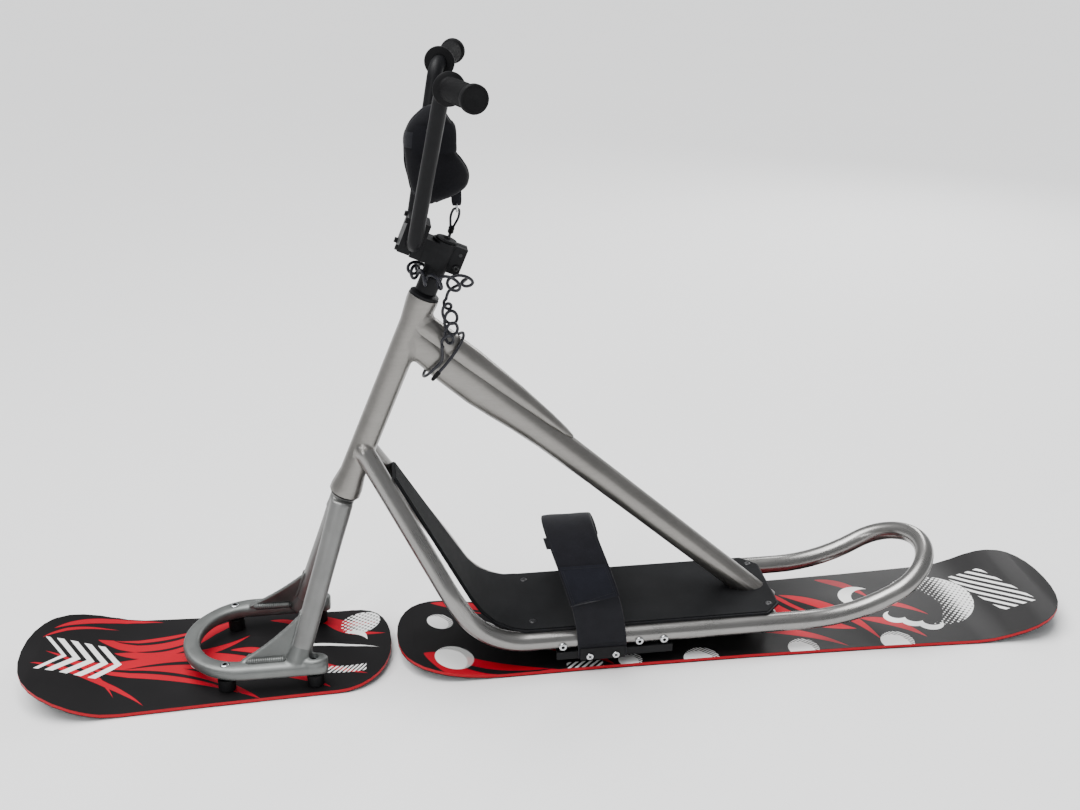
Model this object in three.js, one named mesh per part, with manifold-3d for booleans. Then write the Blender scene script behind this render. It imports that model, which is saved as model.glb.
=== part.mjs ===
// A snow scooter: two short boards, a welded aluminium frame with a curved deck,
// a fork that carries the front board on a cast horseshoe, and a raised handlebar.
// Millimetres, +X towards the rear, +Z up. The scooter's own left side is at -Y.
// While it is built, x = 0 lies at the centre of the head tube's lower face.
// At the end the whole model is moved so that its origin is at its box's bottom centre.

import * as THREE from 'three';
import { mergeVertices } from 'three/addons/utils/BufferGeometryUtils.js';
import Module from 'manifold-3d';

const wasm = await Module();
wasm.setup();

// General clearances
const seatGap = 0.3;
const cutOverrun = 5;

// Head tube and its place
const headHeight = 303;
const headLeanDegrees = 23.4;
const headTubeLength = 347;
const headTubeRadius = 20.5;
const headTubeBore = 17;
const headLowerRadius = 25.2;
const headUpperRadius = 24;
const headLipLength = 10;
const headLowerFlareLength = 28;
const headUpperFlareLength = 34;
const bearingHeight = 7;
const bearingSeatRadius = 21;

// Steerer, headset, spacers and stem
const steererRadius = 14.3;
const steererWall = 2.2;
const crownRaceRadius = 22.5;
const crownRaceHeight = 3.6;
const topCoverRadius = 23;
const topCoverHeight = 8;
const spacerRadius = 16.8;
const lowerSpacerHeight = 26;
const upperSpacerHeight = 15;
const spacerGroove = 1;
const stemClampRadius = 20;
const stemClampHeight = 42;
const stemReach = 46;
const stemWidth = 36;
const stemEarReach = 34;
const stemEarWidth = 26;
const stemSlot = 2;
const stemBlockWidth = 47;
const barCentreAbove = 26;
const stemBlockBelow = 19;
const stemBlockAbove = 33;
const stemBlockDepth = 14;
const facePlateDepth = 18;
const facePlateGap = 2;
const pinchBoltRadius = 2.5;
const pinchHeadRadius = 4.2;
const pinchHeadHeight = 4;
const pinchBoltInset = 11;
const faceBoltInset = 4.6;
const stemBodyInset = 3.5;
const faceBoltCover = 4;
const topCapRadius = 17;
const topCapHeight = 3.5;
const topBoltHeadRadius = 5;
const topBoltHeadHeight = 2.5;
const topBoltRadius = 3;
const topBoltLength = 26;

// Handlebar, crossbar, grips and end plugs
const barRadius = 11.1;
const barWall = 2;
const barRise = 234;
const barSweepBack = 47;
const barCentreHalf = 40;
const barShoulderHalf = 92;
const barHalfWidth = 206;
const gripSweepBack = 32;
const gripUpsweep = 3;
const barLowerBend = 20;
const barUpperBend = 28;
const crossbarHeightShare = 0.69;
const crossbarRadius = 8;
const gripLength = 96;
const gripRadius = 15.8;
const gripFlangeRadius = 23;
const gripEndRadius = 19;
const gripFlangeLength = 4;
const plugRadius = 19;
const plugThickness = 4;
const plugStemLength = 14;

// Fork, horseshoe and front mounts
const crownRadius = 18.5;
const crownHeight = 30;
const legRadius = 15.9;
const legWall = 2.6;
const legTopHalf = 13.6;
const legTopDrop = 9;
const legFootX = -92;
const legFootHeight = 40;
const armHalf = 91;
const legFootInset = 7;
const legFootHalf = armHalf - legFootInset;
const armTopHeight = 54;
const armHeight = 25;
const armWidth = 33;
const archWidth = 27;
const archHeight = 21;
const archCentreX = -175;
const armRearX = -43;
const armBlendLength = 46;
const gussetThickness = 9;
const gussetFrontX = -178;
const gussetTopHeight = 124;
const gussetFootOverlap = 8;
const frontMountX = [-204, -64];
const mountRubberRadius = 14;
const mountBoltRadius = 4;
const mountBoltHeadRadius = 7;
const mountBoltHeadHeight = 5;

// Boards
const boardThickness = 5.6;
const baseThickness = 1.2;
const boltDepth = 3.6;
const frontNoseX = -536;
const frontTailX = 58;
const frontNoseHalf = 133;
const frontWaistHalf = 122;
const frontTailHalf = 114;
const frontNoseLength = 128;
const frontTailLength = 88;
const frontNoseUpturn = 170;
const frontTailUpturn = 88;
const frontNoseRise = 42;
const frontTailRise = 10;
const rearNoseX = 68;
const rearTailX = 1214;
const rearNoseHalf = 109;
const rearWaistHalf = 108;
const rearTailHalf = 125;
const rearNoseLength = 104;
const rearTailLength = 92;
const rearNoseUpturn = 170;
const rearTailUpturn = 175;
const rearNoseRise = 20;
const rearTailRise = 36;
const tipFullnessShare = 0.66;

// Side tubes, tail loop and cross tube
const railRadius = 15.5;
const railWall = 2.6;
const railHeight = 54;
const railHalf = 89.4;
const sideShoulderX = 157;
const sideShoulderHeight = 150;
const sideShoulderBend = 150;
const sideBendX = 210;
const sideBendRadius = 120;
const sideJoint = 84;
const sideJointHalf = 13;
const tailLoopStartX = 730;
const tailBendX = 824.6;
const tailBendRadius = 305;
const tailRiseDegrees = 29;
const tubeSplitGap = 0.3;
const crossTubeX = 689;
const crossTubeRadius = 12.7;

// Main tube
const mainTubeJointDrop = 58;
const mainTubeWall = 2.8;
const mainTubeRadius = 20.5;
const mainTubeUpperRadius = 22.5;
const mainTubeBellyDepth = 37.5;
const mainTubeHeadHalf = 20;
const beadHalfWidth = 20.5;
const beadTop = 40;
const beadLength = 314;

// Deck, its brackets and its fastenings
const deckThickness = 3.8;
const deckRearX = 706;
const deckHalf = 89;
const deckCorner = 26;
const deckTopHeight = 335;
const deckTopHalf = 27;
const deckNeckHalf = 60;
const deckNeckX = 176;
const deckShoulderX = 276;
const gripSheetThickness = 1.2;
const gripSheetInset = 3;
const deckBracketWidth = 16;
const deckBracketThickness = 3;
const deckScrewX = [290, 688];
const deckScrewHalf = 64;
const deckScrewRadius = 3;
const deckScrewHeadRadius = 6;
const deckScrewHeadHeight = 2.2;

// Mounting channel between the rails and the rear board
const channelStartX = 324;
const channelLength = 192;
const channelThickness = 4;
const channelSkirt = 14;
const channelFlange = 22;
const rearMountX = [350, 490];
const rearMountHalf = 56;
const rearRubberRadius = 15;
const washerStripThickness = 2.5;
const railScrewX = [334, 460, 501];
const railScrewDrop = 4;
const railScrewRadius = 3;
const railScrewHeadRadius = 6.5;
const railScrewHeadHeight = 3.5;
const nutStripHalf = 5.5;
const nutStripThickness = 4;

// Foot strap
const strapX = 399;
const strapWidth = 80;
const strapThickness = 3;
const strapBase = 25;
const strapLegPoints = 3;
const strapShoulder = 118;
const strapArchRise = 88;
const strapLeanShare = 0.03;
const strapTopLeanShare = 0.2;
const strapOverlapDegrees = 60;
const padThickness = 7;
const strapPlateThickness = 2;
const strapPlateHeight = 22;
const strapPlateLength = 74;
const strapPlateLift = 3.5;
const strapScrewSpacing = 43;
const strapScrewHeight = 31;
const strapScrewRadius = 2.5;
const strapScrewHeadRadius = 5.6;
const strapScrewHeadHeight = 3;

// Leash: wrist cuff, its tab, ring, cord loop and curly cord
const cordRadius = 2.4;
const loopCordRadius = 1.9;
const cuffRise = 32;
const cuffDepth = 86;
const cuffThickness = 46;
const cuffDropShare = 0.68;
const cuffTabTopShare = 0.55;
const cuffTabBottomShare = 0.71;
const cuffTabBehind = 33;
const cuffTabWidth = 15;
const cuffTabThickness = 3;
const ringRadius = 6.5;
const ringWireRadius = 1.4;
const ringHoleRadius = 2.1;
const loopHalfWidth = 5.5;
const loopSlack = 1.2;
const ferruleRadius = 4.6;
const ferruleLength = 11;
const ferruleBehind = 5;
const ferruleSideways = 24;
const ferruleLift = 8;
const wrapRadius = 29;
const wrapRearRadius = 50;
const wrapOffset = 3;
const wrapDrop = 6;
const wrapRise = 15;
const wrapCurls = 13;
const wrapCurlRadius = 8.2;
const wrapRearCurlRadius = 11.5;
const wrapShares = [0.24, 0.8];
const wrapFadeShare = 0.05;
const wrapRearStartShare = 0.55;
const lowerCurls = 5;
const lowerRampShare = 0.35;
const bigCurlRadius = 11.5;
const smallCurlRadius = 5;
const tieStart = 60;
const tiePitch = 9;
const tieClearance = 6.5;
const cordLeadLength = 8;
const cordLeadPoints = [[7, 28, -9], [4, 28, -27]];
const cordReturnPoints = [[46, 7, 24], [37, 4, 15]];
const cordGuidePoints = [[32, 0, 11], [34, 0, 4], [39, -4, -4], [47, -10, -14], [53, -20, -25],
  [54, -30, -39], [48, -36, -54]];
const cordEndRadius = 3.6;
const cordEndLength = 17;

// Facets
const holeSides = 8;
const coarseSides = 10;
const tubeSides = 12;
const fineSides = 16;
const bendStepDegrees = 15;

// Frames of reference
const headLean = THREE.MathUtils.degToRad(headLeanDegrees);
const headMatrix = new THREE.Matrix4()
  .makeTranslation(0, 0, headHeight)
  .multiply(new THREE.Matrix4().makeRotationY(headLean));
const boardTop = baseThickness + seatGap + boardThickness;
const alongX = new THREE.Vector3(1, 0, 0);
const alongY = new THREE.Vector3(0, 1, 0);
const alongZ = new THREE.Vector3(0, 0, 1);

// A point given along the head tube: behind the axis, sideways, up the axis
function headPoint(behind, sideways, up) {
  return new THREE.Vector3(behind, sideways, up).applyMatrix4(headMatrix);
}

function point(x, y, z) {
  return new THREE.Vector3(x, y, z);
}

// Materials
function material(color, roughness, metalness) {
  return () => new THREE.MeshStandardMaterial({ color, roughness, metalness });
}
const satinAluminium = material(0xa9a8a4, 0.38, 0.9);
const castAluminium = material(0x7f827f, 0.55, 0.8);
const zinc = material(0xc9cbcc, 0.3, 0.95);
const blackMetal = material(0x151618, 0.45, 0.6);
const blackPlate = material(0x17181a, 0.8, 0.3);
const blackRubber = material(0x121213, 0.85, 0);
const blackFabric = material(0x17181d, 0.95, 0);
const blackCord = material(0x1c1d22, 0.6, 0);
const boardRed = material(0xc8102e, 0.35, 0);
const boardBase = material(0x1a1a1c, 0.4, 0);
const steel = material(0x9a9c9e, 0.35, 0.95);

// Merged, outward-facing geometry with no empty triangles
function tidy(geometry) {
  const bare = geometry.clone();
  bare.deleteAttribute('normal');
  bare.deleteAttribute('uv');
  const merged = mergeVertices(bare);
  const position = merged.attributes.position;
  const corners = [0, 1, 2].map(() => new THREE.Vector3());
  const kept = [];
  let volume = 0;
  for (let i = 0; i < merged.index.count; i += 3) {
    const ids = [0, 1, 2].map((k) => merged.index.getX(i + k));
    if (ids[0] === ids[1] || ids[1] === ids[2] || ids[0] === ids[2]) continue;
    ids.forEach((id, k) => corners[k].fromBufferAttribute(position, id));
    volume += corners[0].dot(corners[1].clone().cross(corners[2]));
    kept.push(ids);
  }
  if (volume < 0) kept.forEach((ids) => ids.reverse());
  const result = new THREE.BufferGeometry();
  result.setAttribute('position', position.clone());
  result.setIndex(kept.flat());
  return result;
}

function solidOf(geometry) {
  const clean = tidy(geometry);
  return new wasm.Manifold(new wasm.Mesh({
    numProp: 3,
    vertProperties: new Float32Array(clean.attributes.position.array),
    triVerts: new Uint32Array(clean.index.array),
  }));
}

function geometryOf(solid) {
  const mesh = solid.getMesh();
  const geometry = new THREE.BufferGeometry();
  geometry.setAttribute('position', new THREE.BufferAttribute(mesh.vertProperties, 3));
  geometry.setIndex(new THREE.BufferAttribute(mesh.triVerts, 1));
  return geometry;
}

function cut(geometry, ...tools) {
  return geometryOf(tools.reduce((solid, tool) => solid.subtract(solidOf(tool)), solidOf(geometry)));
}

function join(...geometries) {
  return geometryOf(geometries.map(solidOf).reduce((whole, solid) => whole.add(solid)));
}

function common(first, second) {
  return geometryOf(solidOf(first).intersect(solidOf(second)));
}

function mirrored(geometry) {
  return tidy(geometry.clone().applyMatrix4(new THREE.Matrix4().makeScale(1, -1, 1)));
}

// Basic shapes
function circle(radius, sides) {
  const turn = 2 * Math.PI / sides;
  return Array.from({ length: sides }, (_, i) =>
    new THREE.Vector2(radius * Math.cos(i * turn), radius * Math.sin(i * turn)));
}

function box(low, high) {
  const size = high.clone().sub(low);
  const centre = low.clone().add(high).multiplyScalar(1 / 2);
  return new THREE.BoxGeometry(size.x, size.y, size.z).translate(centre.x, centre.y, centre.z);
}

// A cylinder between two points, with one corner of its polygon on a chosen side
function rod(from, to, radius, sides = coarseSides, endRadius = radius) {
  const axis = to.clone().sub(from);
  const geometry = new THREE.CylinderGeometry(endRadius, radius, axis.length(), sides);
  geometry.applyQuaternion(new THREE.Quaternion().setFromUnitVectors(alongY, axis.clone().normalize()));
  const middle = from.clone().add(to).multiplyScalar(1 / 2);
  return geometry.translate(middle.x, middle.y, middle.z);
}

// A turned piece about +Z; the profile is a list of radius and height pairs
function turned(profile, sides = fineSides) {
  const points = profile.map(([radius, height]) => new THREE.Vector2(radius, height));
  return new THREE.LatheGeometry(points, sides).rotateX(Math.PI / 2);
}

// A ring about +Z with a rectangular section
function ring(inner, outer, bottom, top, sides = fineSides) {
  return turned([[inner, bottom], [outer, bottom], [outer, top], [inner, top], [inner, bottom]], sides);
}

// A shape drawn in the X-Z plane and given a width in Y, centred on Y = 0
function acrossY(outline, width) {
  const geometry = new THREE.ExtrudeGeometry(new THREE.Shape(outline), { depth: width, bevelEnabled: false });
  return geometry.rotateX(Math.PI / 2).translate(0, width / 2, 0);
}

// A shape drawn in the X-Y plane and raised from one height to another
function upright(shape, bottom, top, segments = coarseSides) {
  const settings = { depth: top - bottom, bevelEnabled: false, curveSegments: segments };
  return new THREE.ExtrudeGeometry(shape, settings).translate(0, 0, bottom);
}

// A shape drawn in the Y-Z plane and given a length in X
function alongRear(shape, start, length, segments = coarseSides) {
  const settings = { depth: length, bevelEnabled: false, curveSegments: segments };
  const geometry = new THREE.ExtrudeGeometry(shape, settings);
  const turn = new THREE.Matrix4().makeBasis(alongY, alongZ, alongX);
  return geometry.applyMatrix4(turn).translate(start, 0, 0);
}

// A path of straight stretches joined by round bends, with a station only where it is needed
class BentPath extends THREE.Curve {
  constructor(corners, radii) {
    super();
    this.stations = [];
    const last = corners.length - 1;
    this.addStation(corners[0], corners[1].clone().sub(corners[0]).normalize());
    for (let i = 1; i < last; i += 1) {
      const before = corners[i].clone().sub(corners[i - 1]).normalize();
      const after = corners[i + 1].clone().sub(corners[i]).normalize();
      this.addBend(corners[i], before, after, radii[i - 1]);
    }
    this.addStation(corners[last], corners[last].clone().sub(corners[last - 1]).normalize());
  }

  addStation(place, tangent) {
    const previous = this.stations.at(-1);
    if (previous && previous.place.distanceTo(place) < seatGap) return;
    this.stations.push({ place: place.clone(), tangent: tangent.clone() });
  }

  addBend(corner, before, after, radius) {
    const angle = before.angleTo(after);
    const inward = after.clone().addScaledVector(before, -after.dot(before)).normalize();
    const start = corner.clone().addScaledVector(before, -radius * Math.tan(angle / 2));
    const centre = start.clone().addScaledVector(inward, radius);
    const steps = Math.max(2, Math.round(THREE.MathUtils.radToDeg(angle) / bendStepDegrees));
    for (let k = 0; k <= steps; k += 1) {
      const turn = angle * k / steps;
      const place = centre.clone()
        .addScaledVector(inward, -radius * Math.cos(turn))
        .addScaledVector(before, radius * Math.sin(turn));
      const tangent = before.clone().multiplyScalar(Math.cos(turn)).addScaledVector(inward, Math.sin(turn));
      this.addStation(place, tangent);
    }
  }

  at(share, key) {
    const along = share * (this.stations.length - 1);
    const index = Math.min(Math.floor(along), this.stations.length - 2);
    return this.stations[index][key].clone().lerp(this.stations[index + 1][key], along - index);
  }

  getPoint(share) {
    return this.at(share, 'place');
  }

  getTangent(share) {
    return this.at(share, 'tangent').normalize();
  }

  getUtoTmapping(share) {
    return share;
  }
}

// A round tube along a bent path, open at both ends where it has a bore
function tubeAlong(path, radius, bore, sides = tubeSides) {
  const shape = new THREE.Shape(circle(radius, sides));
  if (bore > 0) shape.holes.push(new THREE.Path(circle(bore, sides)));
  return new THREE.ExtrudeGeometry(shape, { steps: path.stations.length - 1, extrudePath: path });
}

// A closed skin over a row of rings that have as many points each
function skin(rings) {
  const count = rings[0].length;
  const positions = rings.flat().flatMap((p) => [p.x, p.y, p.z]);
  const indices = [];
  for (let i = 0; i + 1 < rings.length; i += 1) {
    for (let k = 0; k < count; k += 1) {
      const a = i * count + k;
      const b = i * count + (k + 1) % count;
      indices.push(a, b, b + count, a, b + count, a + count);
    }
  }
  for (const [ringIndex, flip] of [[0, true], [rings.length - 1, false]]) {
    const centre = rings[ringIndex].reduce((sum, p) => sum.add(p), new THREE.Vector3()).divideScalar(count);
    const centreId = positions.length / 3;
    positions.push(centre.x, centre.y, centre.z);
    for (let k = 0; k < count; k += 1) {
      const a = ringIndex * count + k;
      const b = ringIndex * count + (k + 1) % count;
      indices.push(...(flip ? [centreId, b, a] : [centreId, a, b]));
    }
  }
  const geometry = new THREE.BufferGeometry();
  geometry.setAttribute('position', new THREE.Float32BufferAttribute(positions, 3));
  geometry.setIndex(indices);
  return geometry;
}

// A thin round cord over a list of points, its rings turned as little as possible
function cordAlong(places, radius, sides) {
  const last = places.length - 1;
  const tangents = places.map((_, i) =>
    places[Math.min(i + 1, last)].clone().sub(places[Math.max(i - 1, 0)]).normalize());
  let side = alongZ.clone().cross(tangents[0]);
  if (side.length() < 1 / 2) side = alongX.clone().cross(tangents[0]);
  const rings = places.map((place, i) => {
    side.addScaledVector(tangents[i], -side.dot(tangents[i])).normalize();
    const other = tangents[i].clone().cross(side);
    return circle(radius, sides).map((p) =>
      place.clone().addScaledVector(side, p.x).addScaledVector(other, p.y));
  });
  return skin(rings);
}

// Curls round a guide curve; the radius is given along the guide, and fades at both ends
function curlPlaces(guide, curls, radiusAt, stepsPerCurl) {
  const total = Math.round(curls * stepsPerCurl);
  const places = [];
  const tangent0 = guide.getTangentAt(0);
  const side = tangent0.clone().cross(alongY).normalize();
  for (let i = 0; i <= total; i += 1) {
    const share = i / total;
    const tangent = guide.getTangentAt(share);
    side.addScaledVector(tangent, -side.dot(tangent)).normalize();
    const other = tangent.clone().cross(side);
    const turn = 2 * Math.PI * i / stepsPerCurl;
    const fade = Math.min(1, i / (stepsPerCurl / 2), (total - i) / (stepsPerCurl / 2));
    const radius = radiusAt(share) * fade;
    places.push(guide.getPointAt(share)
      .addScaledVector(side, radius * Math.cos(turn))
      .addScaledVector(other, radius * Math.sin(turn)));
  }
  return places;
}

// The least clear distance of a cord to itself, measured on its points
function leastGap(places, radius) {
  let least = Infinity;
  const travelled = [0];
  for (let i = 1; i < places.length; i += 1) {
    travelled.push(travelled[i - 1] + places[i].distanceTo(places[i - 1]));
  }
  for (let i = 0; i < places.length; i += 1) {
    for (let k = i + 1; k < places.length; k += 1) {
      if (travelled[k] - travelled[i] < radius * Math.PI * 2) continue;
      least = Math.min(least, places[i].distanceTo(places[k]) - 2 * radius);
    }
  }
  return least;
}

// The model's groups
const scooter = new THREE.Group();
const frame = new THREE.Group();
const steered = new THREE.Group();
const frameHead = new THREE.Group();
const steeredHead = new THREE.Group();
scooter.add(frame, steered);
frame.add(frameHead);
steered.add(steeredHead);
for (const group of [frameHead, steeredHead]) {
  group.position.z = headHeight;
  group.rotation.y = headLean;
}

function add(group, name, geometry, finish) {
  const mesh = new THREE.Mesh(tidy(geometry), finish());
  mesh.name = name;
  group.add(mesh);
  return mesh;
}

// Head tube: flared at both ends, bored through, with a bearing seat in each end
function headTube() {
  const seat = bearingHeight + seatGap;
  const body = turned([
    [bearingSeatRadius, 0],
    [headLowerRadius, 0],
    [headLowerRadius, headLipLength],
    [headTubeRadius, headLipLength + headLowerFlareLength],
    [headTubeRadius, headTubeLength - headLipLength - headUpperFlareLength],
    [headUpperRadius, headTubeLength - headLipLength],
    [headUpperRadius, headTubeLength],
    [bearingSeatRadius, headTubeLength],
    [bearingSeatRadius, headTubeLength - seat],
    [headTubeBore, headTubeLength - seat],
    [headTubeBore, seat],
    [bearingSeatRadius, seat],
    [bearingSeatRadius, 0],
  ]);
  add(frameHead, 'head_tube', body, satinAluminium);
  const inner = steererRadius + seatGap;
  const outer = bearingSeatRadius - seatGap;
  const lower = ring(inner, outer, 0, bearingHeight);
  const upper = ring(inner, outer, headTubeLength - bearingHeight, headTubeLength);
  add(frameHead, 'lower_bearing', lower, steel);
  add(frameHead, 'upper_bearing', upper, steel);
}

// The space that the head tube takes, with a seat gap, for coping the tubes that meet it
function headTubeCutter() {
  const radius = headTubeRadius + seatGap;
  const lowerRadius = headLowerRadius + seatGap;
  const upperRadius = headUpperRadius + seatGap;
  const cutter = turned([
    [0, 0],
    [lowerRadius, 0],
    [lowerRadius, headLipLength],
    [radius, headLipLength + headLowerFlareLength],
    [radius, headTubeLength - headLipLength - headUpperFlareLength],
    [upperRadius, headTubeLength - headLipLength],
    [upperRadius, headTubeLength],
    [0, headTubeLength],
  ]);
  return cutter.applyMatrix4(headMatrix);
}

// Places on the head tube's axis and on the main tube
const mainTubeHead = headPoint(0, 0, headTubeLength - mainTubeJointDrop);
const mainTubeFoot = point(crossTubeX, 0, railHeight);
const mainTubeLength = mainTubeHead.distanceTo(mainTubeFoot);
const mainTubeAxis = mainTubeFoot.clone().sub(mainTubeHead).normalize();
const mainTubeUp = mainTubeAxis.clone().cross(alongY).normalize().multiplyScalar(-1);
if (mainTubeUp.z < 0) mainTubeUp.negate();

// A point of the main tube: along its axis from the head, sideways, and above its axis
function mainTubePoint(along, sideways, above) {
  return mainTubeHead.clone()
    .addScaledVector(mainTubeAxis, along)
    .addScaledVector(mainTubeUp, above)
    .add(point(0, sideways, 0));
}

function mainTubeRing(along, half, up, down, centre, sides) {
  return circle(1, sides).map((p) =>
    mainTubePoint(along, half * p.x, centre + (p.y > 0 ? up : down) * p.y));
}

// The lower body of the main tube, deep near the head and round towards the foot
const bellyShares = [[-0.02, 0.9], [0.05, 0.92], [0.115, 0.99], [0.185, 1], [0.24, 0.9],
  [0.29, 0.78], [0.36, 0.68], [0.5, 0.62]];
function mainTubeBody(inset) {
  const rings = bellyShares.map(([share, depthShare]) => {
    const half = THREE.MathUtils.lerp(mainTubeHeadHalf, mainTubeUpperRadius, Math.min(1, share / bellyShares[5][0]));
    const down = Math.max(mainTubeBellyDepth * depthShare, mainTubeUpperRadius);
    return mainTubeRing(share * mainTubeLength, half - inset, mainTubeUpperRadius - inset, down - inset, 0, fineSides);
  });
  const foot = mainTubeRadius - inset;
  const end = mainTubeLength + mainTubeRadius * 2 + inset;
  rings.push(mainTubeRing(end, foot, foot, foot, 0, fineSides));
  return skin(rings);
}

// The round bead on the upper side of the main tube, which ends in a blunt tip
const beadShares = [[-0.05, 0.98, -0.06], [0.19, 1, -0.03], [0.35, 1.02, 0.02], [0.63, 0.93, 0.15],
  [0.84, 0.8, 0.28], [0.95, 0.7, 0.4], [1, 0.62, 0.52]];
function mainTubeBead() {
  const rings = beadShares.map(([share, topShare, bottomShare]) => {
    const up = beadTop * (topShare - bottomShare) / 2;
    const centre = beadTop * (topShare + bottomShare) / 2;
    const half = Math.min(beadHalfWidth, beadHalfWidth * Math.sqrt(up / (beadTop / 2)));
    return mainTubeRing(share * beadLength, half, up, up, centre, fineSides);
  });
  return skin(rings);
}

function crossTubeCutter(grow) {
  const reach = railHalf + railRadius;
  return rod(point(crossTubeX, -reach, railHeight), point(crossTubeX, reach, railHeight),
    crossTubeRadius + grow, fineSides);
}

function mainTube() {
  const outside = join(mainTubeBody(0), mainTubeBead());
  const reach = mainTubeRadius * 3;
  const below = box(point(crossTubeX - reach, -reach, 0), point(crossTubeX + reach, reach, railHeight));
  const body = cut(outside, mainTubeBody(mainTubeWall), headTubeCutter(), crossTubeCutter(seatGap), below);
  const solids = solidOf(body).decompose();
  solids.sort((a, b) => b.volume() - a.volume());
  add(frame, 'main_tube', geometryOf(solids[0]), satinAluminium);
}

// Side tubes: from the head tube down and apart, round two bends, then straight back as rails
function sideTubePath(side) {
  const start = headPoint(0, side * sideJointHalf, sideJoint);
  const shoulder = point(sideShoulderX, side * railHalf, sideShoulderHeight);
  const corner = point(sideBendX, side * railHalf, railHeight);
  const end = point(tailLoopStartX, side * railHalf, railHeight);
  return new BentPath([start, shoulder, corner, end], [sideShoulderBend, sideBendRadius]);
}

// One rail screw: head outside, shank through the rail and the channel's flange
const railOuter = railHalf + railRadius;
const channelHalf = railOuter + seatGap;
const flangeOuterHalf = railHalf - railRadius - seatGap;
const flangeInnerHalf = flangeOuterHalf - channelThickness;
const railScrewHeight = railHeight - railScrewDrop;
function railScrew(x) {
  const headStart = railOuter + seatGap;
  const at = (y) => point(x, -y, railScrewHeight);
  return join(
    rod(at(headStart), at(headStart + railScrewHeadHeight), railScrewHeadRadius, coarseSides, railScrewHeadRadius / 2),
    rod(at(headStart + railScrewHeadHeight / 2), at(flangeInnerHalf - nutStripThickness), railScrewRadius),
  );
}

// The three screws of one rail, held by one tapped strip inside the channel's flange
function railFastening() {
  const face = flangeInnerHalf - seatGap;
  const strip = box(
    point(railScrewX[0] - nutStripHalf * 2, -face, railScrewHeight - nutStripHalf),
    point(railScrewX.at(-1) + nutStripHalf * 2, -face + nutStripThickness, railScrewHeight + nutStripHalf),
  );
  return join(strip, ...railScrewX.map(railScrew));
}

function railHoles() {
  return railScrewX.map((x) => rod(
    point(x, -railOuter - cutOverrun, railScrewHeight),
    point(x, -flangeInnerHalf + cutOverrun, railScrewHeight),
    railScrewRadius + seatGap,
  ));
}

function sideTubes() {
  const path = sideTubePath(-1);
  const body = tubeAlong(path, railRadius, railRadius - railWall);
  const left = cut(body, headTubeCutter(), ...railHoles());
  const solids = solidOf(left).decompose();
  solids.sort((a, b) => b.volume() - a.volume());
  const geometry = geometryOf(solids[0]);
  add(frame, 'left_side_tube', geometry, satinAluminium);
  add(frame, 'right_side_tube', mirrored(geometry), satinAluminium);
  const fastening = railFastening();
  add(frame, 'left_rail_screws', fastening, zinc);
  add(frame, 'right_rail_screws', mirrored(fastening), zinc);
}

// Tail loop: both rails rise and meet in a half circle
function tailLoop() {
  const rise = THREE.MathUtils.degToRad(tailRiseDegrees);
  const reach = tailBendRadius * Math.tan(rise / 2) + railHalf;
  const farX = tailBendX + reach * Math.cos(rise);
  const farZ = railHeight + reach * Math.sin(rise);
  const path = new BentPath([
    point(tailLoopStartX + tubeSplitGap, -railHalf, railHeight),
    point(tailBendX, -railHalf, railHeight),
    point(farX, -railHalf, farZ),
    point(farX, railHalf, farZ),
    point(tailBendX, railHalf, railHeight),
    point(tailLoopStartX + tubeSplitGap, railHalf, railHeight),
  ], [tailBendRadius, railHalf, railHalf, tailBendRadius]);
  add(frame, 'tail_loop', tubeAlong(path, railRadius, railRadius - railWall), satinAluminium);
}

// A straight bar between the rails, trimmed by both of them
function railCutters() {
  const radius = railRadius + seatGap;
  return [-1, 1].map((side) => rod(
    point(sideBendX, side * railHalf, railHeight),
    point(tailLoopStartX, side * railHalf, railHeight),
    radius, fineSides,
  ));
}

const deckBottom = railHeight + railRadius + seatGap;
const deckTop = deckBottom + deckThickness;

// The cross tube and the front bracket, each with the two deck screws that it holds
function crossMembers() {
  const [bracketX, tubeX] = deckScrewX;
  const tube = rod(point(crossTubeX, -railHalf, railHeight), point(crossTubeX, railHalf, railHeight),
    crossTubeRadius, fineSides);
  const bore = rod(point(crossTubeX, -railHalf - cutOverrun, railHeight),
    point(crossTubeX, railHalf + cutOverrun, railHeight), crossTubeRadius - railWall, fineSides);
  const tubeScrews = [-1, 1].map((side) => deckScrew(tubeX, side * deckScrewHalf));
  add(frame, 'rear_cross_tube', join(cut(tube, bore, ...railCutters()), ...tubeScrews), satinAluminium);
  const top = deckBottom - seatGap;
  const bar = box(
    point(bracketX - deckBracketWidth / 2, -railHalf, top - deckBracketThickness),
    point(bracketX + deckBracketWidth / 2, railHalf, top),
  );
  const bracketScrews = [-1, 1].map((side) => deckScrew(bracketX, side * deckScrewHalf));
  add(frame, 'front_deck_bracket', join(cut(bar, ...railCutters()), ...bracketScrews), satinAluminium);
}

// The deck's side view: a flat stretch, the side tubes' bend, and a straight rise along them
function deckLine(offset) {
  const path = sideTubePath(-1);
  const points = [];
  for (const { place, tangent } of path.stations) {
    const flat = Math.hypot(tangent.x, tangent.z);
    points.push(new THREE.Vector2(
      place.x - offset * tangent.z / flat,
      place.z + offset * tangent.x / flat,
    ));
  }
  const [top, next] = points;
  const share = (deckTopHeight - next.y) / (top.y - next.y);
  points[0] = next.clone().lerp(top, share);
  points[points.length - 1].x = deckRearX;
  return points;
}

function deckSlab(bottom, top, width) {
  const lower = deckLine(bottom);
  const upper = deckLine(top).reverse();
  return acrossY([...lower, ...upper], width);
}

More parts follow.
